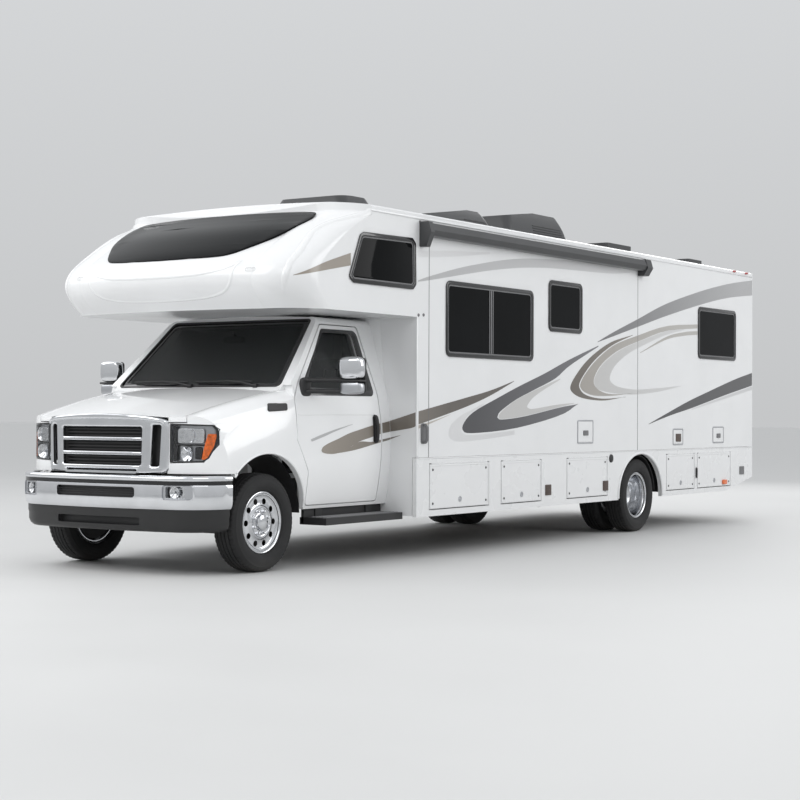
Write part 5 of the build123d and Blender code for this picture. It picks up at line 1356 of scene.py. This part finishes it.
# Moulded lines across the nose: x, height
nose_lines = {
    "nose_line_upper": [(0.79, 2.395), (0.721, 2.355), (0.648, 2.326), (0.46, 2.294), (0.20, 2.281),
                        (0, 2.279)],
    "nose_line_lower": [(0.775, 2.385), (0.752, 2.330), (0.731, 2.226), (0.638, 2.152), (0.467, 2.117),
                        (0.283, 2.106), (0, 2.100)],
}
line_sink = 0.0155
rear_arch_half, rear_arch_rise = 0.518, 0.440
seam_stations = (1.853, 5.845)


def on_nose():
    """Place on the evened-out nose surface: u is x, v a height."""
    tree = surface_of("front_cap", "window_glass")
    normal = Vector((0, -1, nose_rake)).normalized()
    offsets = [(x, z) for x in spread(-0.10, 0.10, 5) for z in spread(-0.07, 0.07, 5)]

    def rake(x, z):
        return at(nose_foot[0]) + nose_rake * (z - nose_foot[1]) + nose_bow * x * x

    def place(u, v, out):
        depths = []
        for shift_x, shift_z in offsets:
            x, z = u + shift_x, min(v + shift_z, nose_top)
            spot = tree.ray_cast(Vector((x, ray_front, z)), Vector((0, 1, 0)))[0]
            if spot and abs(spot.y - rake(x, z)) < nose_reach:
                depths.append(spot.y - rake(x, z))
        return Vector((u, rake(u, v) + sum(depths) / max(len(depths), 1), v)) + normal * out
    return place


def build_nose():
    """Front window of the nose."""
    half = smooth_line(nose_window, 60)
    outline = [tuple(p) for p in half] + [(-p.x, p.y) for p in reversed(half[1:-1])]
    glass = plate(outline, 0.014, 0.004, on_nose(), (), spread(-0.90, 0.90, 19), spread(2.44, 2.83, 10))
    piece("nose_window", glass, coach_glass, sharp=60)


def build_coach_trim():
    """Rails, moulded edges, grey strips in the wall seams that paint the shade of their grooves, and rear
    arch lips of the coach.
    """
    cap = surface_of("front_cap", "roof")
    rail = wall_block(0.98, 2.850, coach_rear - 0.01, 2.868, -0.004, 0.010, 0.005)
    both_sides("roof_rail", rail, gelcoat)
    points = []
    for step, (station, z) in enumerate(smooth_line(nose_ridge, 60)):
        spot, normal = from_left(cap, station, z)
        points.append(spot - normal * (ridge_sink + ridge_fall * max(step - ridge_turn, 0)))
    both_sides("nose_edge", tube(points, 0.045, 6), gelcoat, sharp=60)
    for name, line in nose_lines.items():
        points = []
        for x, z in smooth_line(mirrored(line), 64):
            spot, normal = from_front(cap, x, z)
            points.append(spot - normal * line_sink)
        piece(name, tube(points, 0.021, 5), gelcoat, sharp=60)
    post = wall_block(coach_front - 0.006, 0.86, coach_front + 0.024, 2.03, -0.010, 0.005, 0.005)
    both_sides("corner_post", post, gelcoat)
    floor_rail = wall_block(coach_front + 0.03, 0.838, coach_rear - 0.02, 0.848, -0.004, 0.006, 0.003)
    both_sides("floor_rail", floor_rail, gelcoat)
    # The seams are real grooves; the grey strips over them paint the shade that falls in them
    seam_shade_strips = [wall_block(station - 0.004, 0.852, station + 0.004, 2.700, -0.002, 0.0015, 0.001)
             for station in seam_stations]
    both_sides("wall_seam_painted_shade", joined(*seam_shade_strips), grey_trim)
    points = []
    for angle in spread(math.radians(-2), math.radians(182), 48):
        station, z = wheelbase + rear_arch_half * math.cos(angle), hub_z + rear_arch_rise * math.sin(angle)
        points.append((wall_x + 0.001, at(station), z))
    both_sides("rear_arch_lip", tube(points, 0.014), skirt_white)


# Wall hatches: stations and heights of opposite corners, whether a brown vent takes the latch's place
hatches = [(4.519, 0.932, 4.852, 1.164, False), (6.704, 0.890, 6.967, 1.069, True),
           (7.762, 0.899, 8.073, 1.087, False)]
# Half width and half height of a hatch's vent and of its latch
hatch_vent, hatch_latch = (0.062, 0.0425), (0.05, 0.025)
# Square vents on the skirt: station, height
skirt_vents = [(5.118, 0.505), (3.935, 0.503)]
# Grab handle beside the cab: height, distance out
grab_station = 1.767
grab_grip = [(0.975, 0.0), (0.985, 0.035), (1.05, 0.042), (1.115, 0.035), (1.127, 0.0)]
nose_marker_place = (0.894, 2.314)
roof_marker_stations = (8.364, 8.721)
corner_screws = [(1.690, 2.046), (1.767, 2.051), (1.707, 2.829)]
# Round fittings: distance out of the wall, radius
filler_profile = [(0, 0), (0, 0.042), (0.008, 0.040), (0.012, 0.032), (0.012, 0)]
corner_profile = [(0, 0), (0, 0.014), (0.006, 0.012), (0.008, 0)]
screw_profile = [(0, 0), (0, 0.011), (0.004, 0.009), (0.005, 0)]
latch_profile = [(0, 0), (0, 0.026), (0.005, 0.024), (0.006, 0.016), (0.003, 0.014), (0.003, 0)]


def build_hatches():
    """Hatches, vents and latches on the left wall and skirt."""
    frames, doors, latches, vents = [], [], [], []
    for low_s, low_z, high_s, high_z, vented in hatches:
        corners = rectangle(low_s, low_z, high_s, high_z)
        frames.append(border(corners, 0.012, (0.02, 0.012), 0.005, 0.002, on_wall()))
        doors.append(plate(rounded(inset(corners, 0.016), 0.012), 0.004, 0.0015, on_wall()))
        middle, z = (low_s + high_s) / 2, low_z + (high_z - low_z) * 0.45
        wide, tall = hatch_vent if vented else hatch_latch
        corners = (middle - wide, z - tall, middle + wide, z + tall)
        (vents if vented else latches).append(tile(corners, 0.008, 0.010, 0.003, on_wall(0.002)))
    piece("hatch_frames", joined(*frames), satin_metal)
    piece("hatch_doors", joined(*doors), gelcoat)
    for station, z in skirt_vents:
        corners = (station - 0.055, z - 0.05, station + 0.055, z + 0.05)
        vents.append(tile(corners, 0.006, 0.008, 0.003, on_wall()))
        for low_z in spread(z - 0.040, z + 0.032, 5):
            vents.append(wall_block(station - 0.045, low_z, station + 0.045, low_z + 0.008, 0, 0.012, 0.002))
    piece("skirt_vents", joined(*vents), brown_vent)
    latches.append(tile((8.535, 0.525, 8.665, 0.620), 0.008, 0.008, 0.003, on_wall()))
    piece("hatch_latches", joined(*latches), grey_trim)


def build_coach_fittings():
    """Marker lamps, grab handle, filler cap and corner screws of the coach."""
    marker = tile((8.03, 0.425, 8.15, 0.480), 0.02, 0.020, 0.008, on_wall())
    piece("side_marker", marker, amber, "bay_door_left_5")
    grip = smooth_line([(wall_x + out, at(grab_station), z) for z, out in grab_grip], 18)
    base = tile((1.73, 0.965, 1.804, 1.137), 0.02, 0.005, 0.002, on_wall())
    piece("grab_handle", joined(tube(grip, 0.012), base), grey_trim)
    piece("filler_cap", button(filler_profile, 5.242, 0.776, 32), black_trim)
    spot, normal = from_front(surface_of("front_cap"), *nose_marker_place)
    lamp = soft_block((-0.045, -0.016, -0.004), (0.045, 0.016, 0.022))
    lamp.transform(Matrix.Translation(spot) @ normal.to_track_quat("Z", "Y").to_matrix().to_4x4())
    both_sides("nose_marker", lamp, lens_clear)
    lamps = []
    for station in roof_marker_stations:
        low, high = (wall_x - 0.002, at(station - 0.035), 2.876), (wall_x + 0.018, at(station + 0.035), 2.900)
        lamps.append(soft_block(low, high))
    both_sides("roof_marker", joined(*lamps), red_lens)
    screws = [button(corner_profile, station, z, 16) for station, z in corner_screws]
    both_sides("corner_fittings", joined(*screws), grey_trim)


def build_bay_doors():
    """Edge trim, corner screws and a latch on every storage bay door."""
    for side, count in (("left", 5), ("right", 1)):
        for number in range(1, count + 1):
            name = f"bay_door_{side}_{number}"
            low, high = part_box(name)
            first, last = low.y - front_axle_y, high.y - front_axle_y
            middle = (first + last) / 2
            bottom, top = low.z, high.z - 0.010
            corners = rectangle(first + 0.004, bottom + 0.004, last - 0.004, top - 0.004)
            trim = border(corners, 0.010, (0.020, 0.014), 0.0035, 0.0015, on_wall())
            dots = [button(screw_profile, station, z, 16)
                    for station in (first + 0.05, last - 0.05) for z in (bottom + 0.045, top - 0.045)]
            ring = button(latch_profile, middle, bottom + 0.07, 32)
            bar = wall_block(middle - 0.013, bottom + 0.066, middle + 0.013, bottom + 0.074, 0.002, 0.007,
                             0.002)
            shapes = [("trim", trim, skirt_white), ("screws", joined(*dots), black_trim),
                      ("latch", joined(ring, bar), satin_metal)]
            for label, shape, finish in shapes:
                piece(f"{name}_{label}", flipped(shape) if side == "right" else shape, finish, name)
    pull = soft_block((wall_x, at(7.300), 0.515), (wall_x + 0.022, at(7.318), 0.640))
    piece("bay_pull", pull, black_trim)


def build_awning():
    """Front rail and lip of the awning box."""
    low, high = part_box("awning")
    rail = block((high.x - 0.036, low.y + 0.075, 2.745), (high.x - 0.012, high.y - 0.13, 2.778), 0.008)
    lip = block((wall_x + 0.006, low.y + 0.07, 2.712), (high.x - 0.040, high.y - 0.125, 2.722), 0.004)
    piece("awning_rail", joined(rail, lip), grey_trim)


# Louvres of the roof units: first station, last station, lowest slot, slots
louvre_table = [(3.95, 4.36, 2.99, 6), (5.28, 5.90, 3.00, 8), (1.98, 2.24, 2.985, 4)]
louvre_pitch = 0.026


def build_roof_details():
    """Louvres on the sides of the roof units."""
    on_unit = laid_on(surface_of("roof_units"), -0.002)
    louvres = []
    for first, last, low_z, count in louvre_table:
        for row in range(count):
            z = low_z + row * louvre_pitch
            cuts = spread(first + 0.03, last - 0.03, 8)
            louvres.append(tile((first, z, last, z + 0.011), 0.005, 0.005, 0.002, on_unit, cuts))
    both_sides("roof_louvres", joined(*louvres), black_trim)


# Tail lamps: inner and outer x, heights of both
tail_lamp_x = (1.040, 1.215)
tail_lamp_heights = [(0.800, 0.890), (0.905, 1.010)]


def build_rear():
    """Tail lamp bezels, and the frame, trim and handle of the entry door."""
    bezels = []
    for low_z, high_z in tail_lamp_heights:
        low_x, high_x = tail_lamp_x
        corners = rectangle(low_x - 0.010, low_z - 0.008, high_x + 0.010, high_z + 0.008)
        hole = rounded(rectangle(low_x, low_z, high_x, high_z), 0.004)
        bezel = plate(rounded(corners, 0.012), 0.016, 0.004, facing_rear(coach_rear), [hole])
        bezels += [bezel, flipped(bezel)]
    piece("tail_lamp_bezels", joined(*bezels), chrome)
    entry_low, entry_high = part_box("entry_door")
    first, last = entry_low.y - front_axle_y, entry_high.y - front_axle_y
    glass_low, glass_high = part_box("entry_glass")
    window = rectangle(glass_low.y - front_axle_y, glass_low.z, glass_high.y - front_axle_y, glass_high.z)
    ring = border(inset(window, -0.020), 0.032, (0.055, 0.036), 0.012, 0.004, on_wall())
    piece("entry_window_frame", flipped(ring), black_gloss, "entry_door")
    corners = rectangle(first + 0.006, entry_low.z + 0.006, last - 0.006, entry_high.z - 0.006)
    trim = border(corners, 0.018, (0.03, 0.02), 0.004, 0.0015, on_wall())
    piece("entry_trim", flipped(trim), gelcoat, "entry_door")
    base = tile((last - 0.10, 1.36, last - 0.035, 1.52), 0.02, 0.012, 0.004, on_wall())
    lever = soft_block((wall_x + 0.010, at(last - 0.150), 1.42), (wall_x + 0.034, at(last - 0.045), 1.45))
    piece("entry_handle", flipped(joined(base, lever)), black_trim, "entry_door")


# Cab seats: pads as (name, low corner, high corner) about the seat's middle, with Y as stations
seat_x = 0.45
seat_pads = [
    ("cushion", (-0.235, 1.02, 1.045), (0.235, 1.50, 1.175)),
    ("back", (-0.225, 1.46, 1.170), (0.225, 1.60, 1.560)),
    ("headrest", (-0.130, 1.515, 1.575), (0.130, 1.625, 1.705)),
]
back_lean = 0.16
pad_shrink = 0.014
pad_voxel = 0.012
pad_cap = 0.022
pad_frames = 20
pad_pressure = 4


def swollen(mesh):
    """The pad after cloth pressure, with each point's travel capped."""
    holder = bpy.data.objects.new("pad", mesh)
    remesh = holder.modifiers.new("voxels", "REMESH")
    remesh.mode = "VOXEL"
    remesh.voxel_size = pad_voxel
    start = evaluated(holder)
    holder = bpy.data.objects.new("pad", start)
    scene.collection.objects.link(holder)
    cloth = holder.modifiers.new("cloth", "CLOTH")
    cloth.settings.use_pressure = True
    cloth.settings.uniform_pressure_force = pad_pressure
    cloth.settings.effector_weights.gravity = 0
    cloth.point_cache.frame_end = pad_frames
    for number in range(1, pad_frames + 1):
        scene.frame_set(number)
    result = bpy.data.meshes.new_from_object(holder.evaluated_get(bpy.context.evaluated_depsgraph_get()))
    for vert, rest in zip(result.vertices, start.vertices):
        travel = vert.co - rest.co
        if travel.length > pad_cap:
            vert.co = rest.co + travel.normalized() * pad_cap
    bpy.data.objects.remove(holder)
    scene.frame_set(1)
    return result


def build_seats():
    """Padded seats, swollen by cloth simulation, on plain pedestals."""
    pads = []
    for side, sign in (("left", 1), ("right", -1)):
        for name, low, high in seat_pads:
            low_spot = Vector((sign * seat_x + low[0], at(low[1]), low[2])) + Vector((pad_shrink,) * 3)
            high_spot = Vector((sign * seat_x + high[0], at(high[1]), high[2])) - Vector((pad_shrink,) * 3)
            mesh = soft_block(low_spot, high_spot, 3)
            if name == "back":
                for vert in mesh.vertices:
                    vert.co.y += back_lean * (vert.co.z - low_spot.z) - 0.02
            pads.append((f"seat_{name}_{side}", mesh))
    for name, mesh in pads:
        obj = piece(name, swollen(mesh), seat_cloth, sharp=180)
    base = []
    for middle in (seat_x, -seat_x):
        base.append(block((middle - 0.19, at(1.08), 0.75), (middle + 0.19, at(1.44), 1.05), 0.02))
        for x in (middle - 0.06, middle + 0.06):
            base.append(tube([(x, at(1.555), 1.53), (x, at(1.57), 1.60)], 0.007, 2))
    piece("seat_bases", joined(*base), dash_plastic, replaced=["cab_seats"])


# Inside of the cab: x of the dashboard's vents and of the steering column
dash_vents = (-0.75, 0.0, 0.35, 0.75)
column_x = -0.43


def build_cab_inside():
    """Instrument hood, column and vents of the dashboard, and the inside mirror."""
    details = [soft_block((-0.66, at(0.52), 1.285), (-0.22, at(0.68), 1.375), 3)]
    details.append(tube([(column_x, at(0.60), 1.13), (column_x, at(0.80), 1.225)], 0.04, 4))
    for x in dash_vents:
        details.append(block((x - 0.09, at(0.575), 1.22), (x + 0.09, at(0.60), 1.275), 0.008))
    piece("dash_details", joined(*details), dash_plastic)
    view_mirror = soft_block((-0.12, at(0.80), 1.80), (0.12, at(0.83), 1.86))
    stem = tube([(0, at(0.815), 1.84), (0, at(0.80), 1.90)], 0.008, 2)
    piece("inside_mirror", joined(view_mirror, stem), black_trim)


# Plate between the cab and the coach: x, height
closing = [(0.83, 1.46), (0.945, 1.46), (0.89, 2.02), (0.74, 2.02), (0.76, 1.95), (0.80, 1.94)]


def build_closings():
    """Plates that close the corners between the cab and the coach, and dark panels under the doors that paint
    the shade in the gap above the running boards.
    """
    both_sides("cab_closing", plate(closing, 0.004, 0.001, facing_front(coach_front - 0.001)), cab_white)
    # Dark panel in the gap between door sill and running board: painted shade, which also hides the
    # see-through gap
    painted_shade_panel = block((0.900, at(0.56), 0.340), (0.930, at(1.64), 0.470), 0.006)
    both_sides("cab_sill_painted_shade", painted_shade_panel, undercoat)


def build_steps():
    """Ribbed treads on the running boards."""
    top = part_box("cab_steps")[1].z
    treads = []
    for x in spread(0.97, 1.114, 5):
        treads.append(block((x, at(0.60), top - 0.070), (x + 0.018, at(1.60), top - 0.062), 0.002))
    both_sides("step_treads", joined(*treads), grey_trim)


# Camera of the photograph
camera_place = (9.174, -14.429, 1.215)
camera_yaw = -0.5913
camera_pitch = 0.0082
camera_roll = 0.0039
camera_lens = 77.34
camera_sensor = 36.0


def build_camera():
    """Camera of the photograph, from its place, angles and lens."""
    camera = bpy.data.cameras.new("camera")
    camera.lens = camera_lens
    camera.sensor_width = camera_sensor
    camera.clip_end = 500
    obj = bpy.data.objects.new("camera", camera)
    scene.collection.objects.link(obj)
    level = math.cos(camera_pitch)
    forward = Vector((math.sin(camera_yaw) * level, math.cos(camera_yaw) * level, math.sin(camera_pitch)))
    right = Vector((math.cos(camera_yaw), -math.sin(camera_yaw), 0))
    up = right.cross(forward)
    turned_right = right * math.cos(camera_roll) + up * math.sin(camera_roll)
    turned_up = up * math.cos(camera_roll) - right * math.sin(camera_roll)
    rotation = Matrix((turned_right, turned_up, -forward)).transposed()
    obj.matrix_world = Matrix.Translation(camera_place) @ rotation.to_4x4()
    scene.camera = obj


# Studio
sky_foot, sky_top = (0.62, 0.63, 0.64), (0.90, 0.92, 0.94)
sky_strength = 0.90
# Soft boxes: name, place, power in watts, width
soft_boxes = [("key", (9, -10, 9), 190, 7), ("side", (13, 6, 7), 540, 8), ("front", (-2, -12, 9), 560, 8),
              ("far", (-10, -6, 8), 300, 7), ("rear", (-3, 13, 7), 300, 6)]
lamp_aim = Vector((0, 0, 1.3))


def build_stage():
    """Pale floor, soft lamps and a pale sky."""
    bm = bmesh.new()
    bmesh.ops.create_grid(bm, x_segments=2, y_segments=2, size=150)
    mesh = mesh_of(bm)
    floor = bpy.data.objects.new("floor", mesh)
    scene.collection.objects.link(floor)
    mesh.materials.append(surface("floor_pale", (0.62, 0.62, 0.615), 0.6, mottle=0.02, scale=0.6))
    world = bpy.data.worlds.new("sky")
    scene.world = world
    world.use_nodes = True
    tree = world.node_tree
    background = tree.nodes["Background"]
    height = coordinate(tree, "Z", "Generated")
    tree.links.new(ramped(tree, height, (sky_foot, sky_top), (0, 0.6)), background.inputs["Color"])
    background.inputs["Strength"].default_value = sky_strength
    for name, place, power, width in soft_boxes:
        lamp = bpy.data.lights.new(name, "AREA")
        lamp.energy = power
        lamp.size = width
        obj = bpy.data.objects.new(name, lamp)
        scene.collection.objects.link(obj)
        obj.location = place
        obj.rotation_euler = (lamp_aim - Vector(place)).to_track_quat("-Z", "Y").to_euler()


build_camera()
build_stage()
dress_nodes()
build_wheels()
build_grille()
build_headlamps()
build_bumper()
build_fog_lamps()
build_valance()
build_cab_trim()
build_screen_trim()
build_mirrors()
build_wall_films()
build_cab_films()
build_windows()
build_nose()
build_coach_trim()
build_hatches()
build_coach_fittings()
build_bay_doors()
build_awning()
build_roof_details()
build_rear()
build_seats()
build_cab_inside()
build_closings()
build_steps()
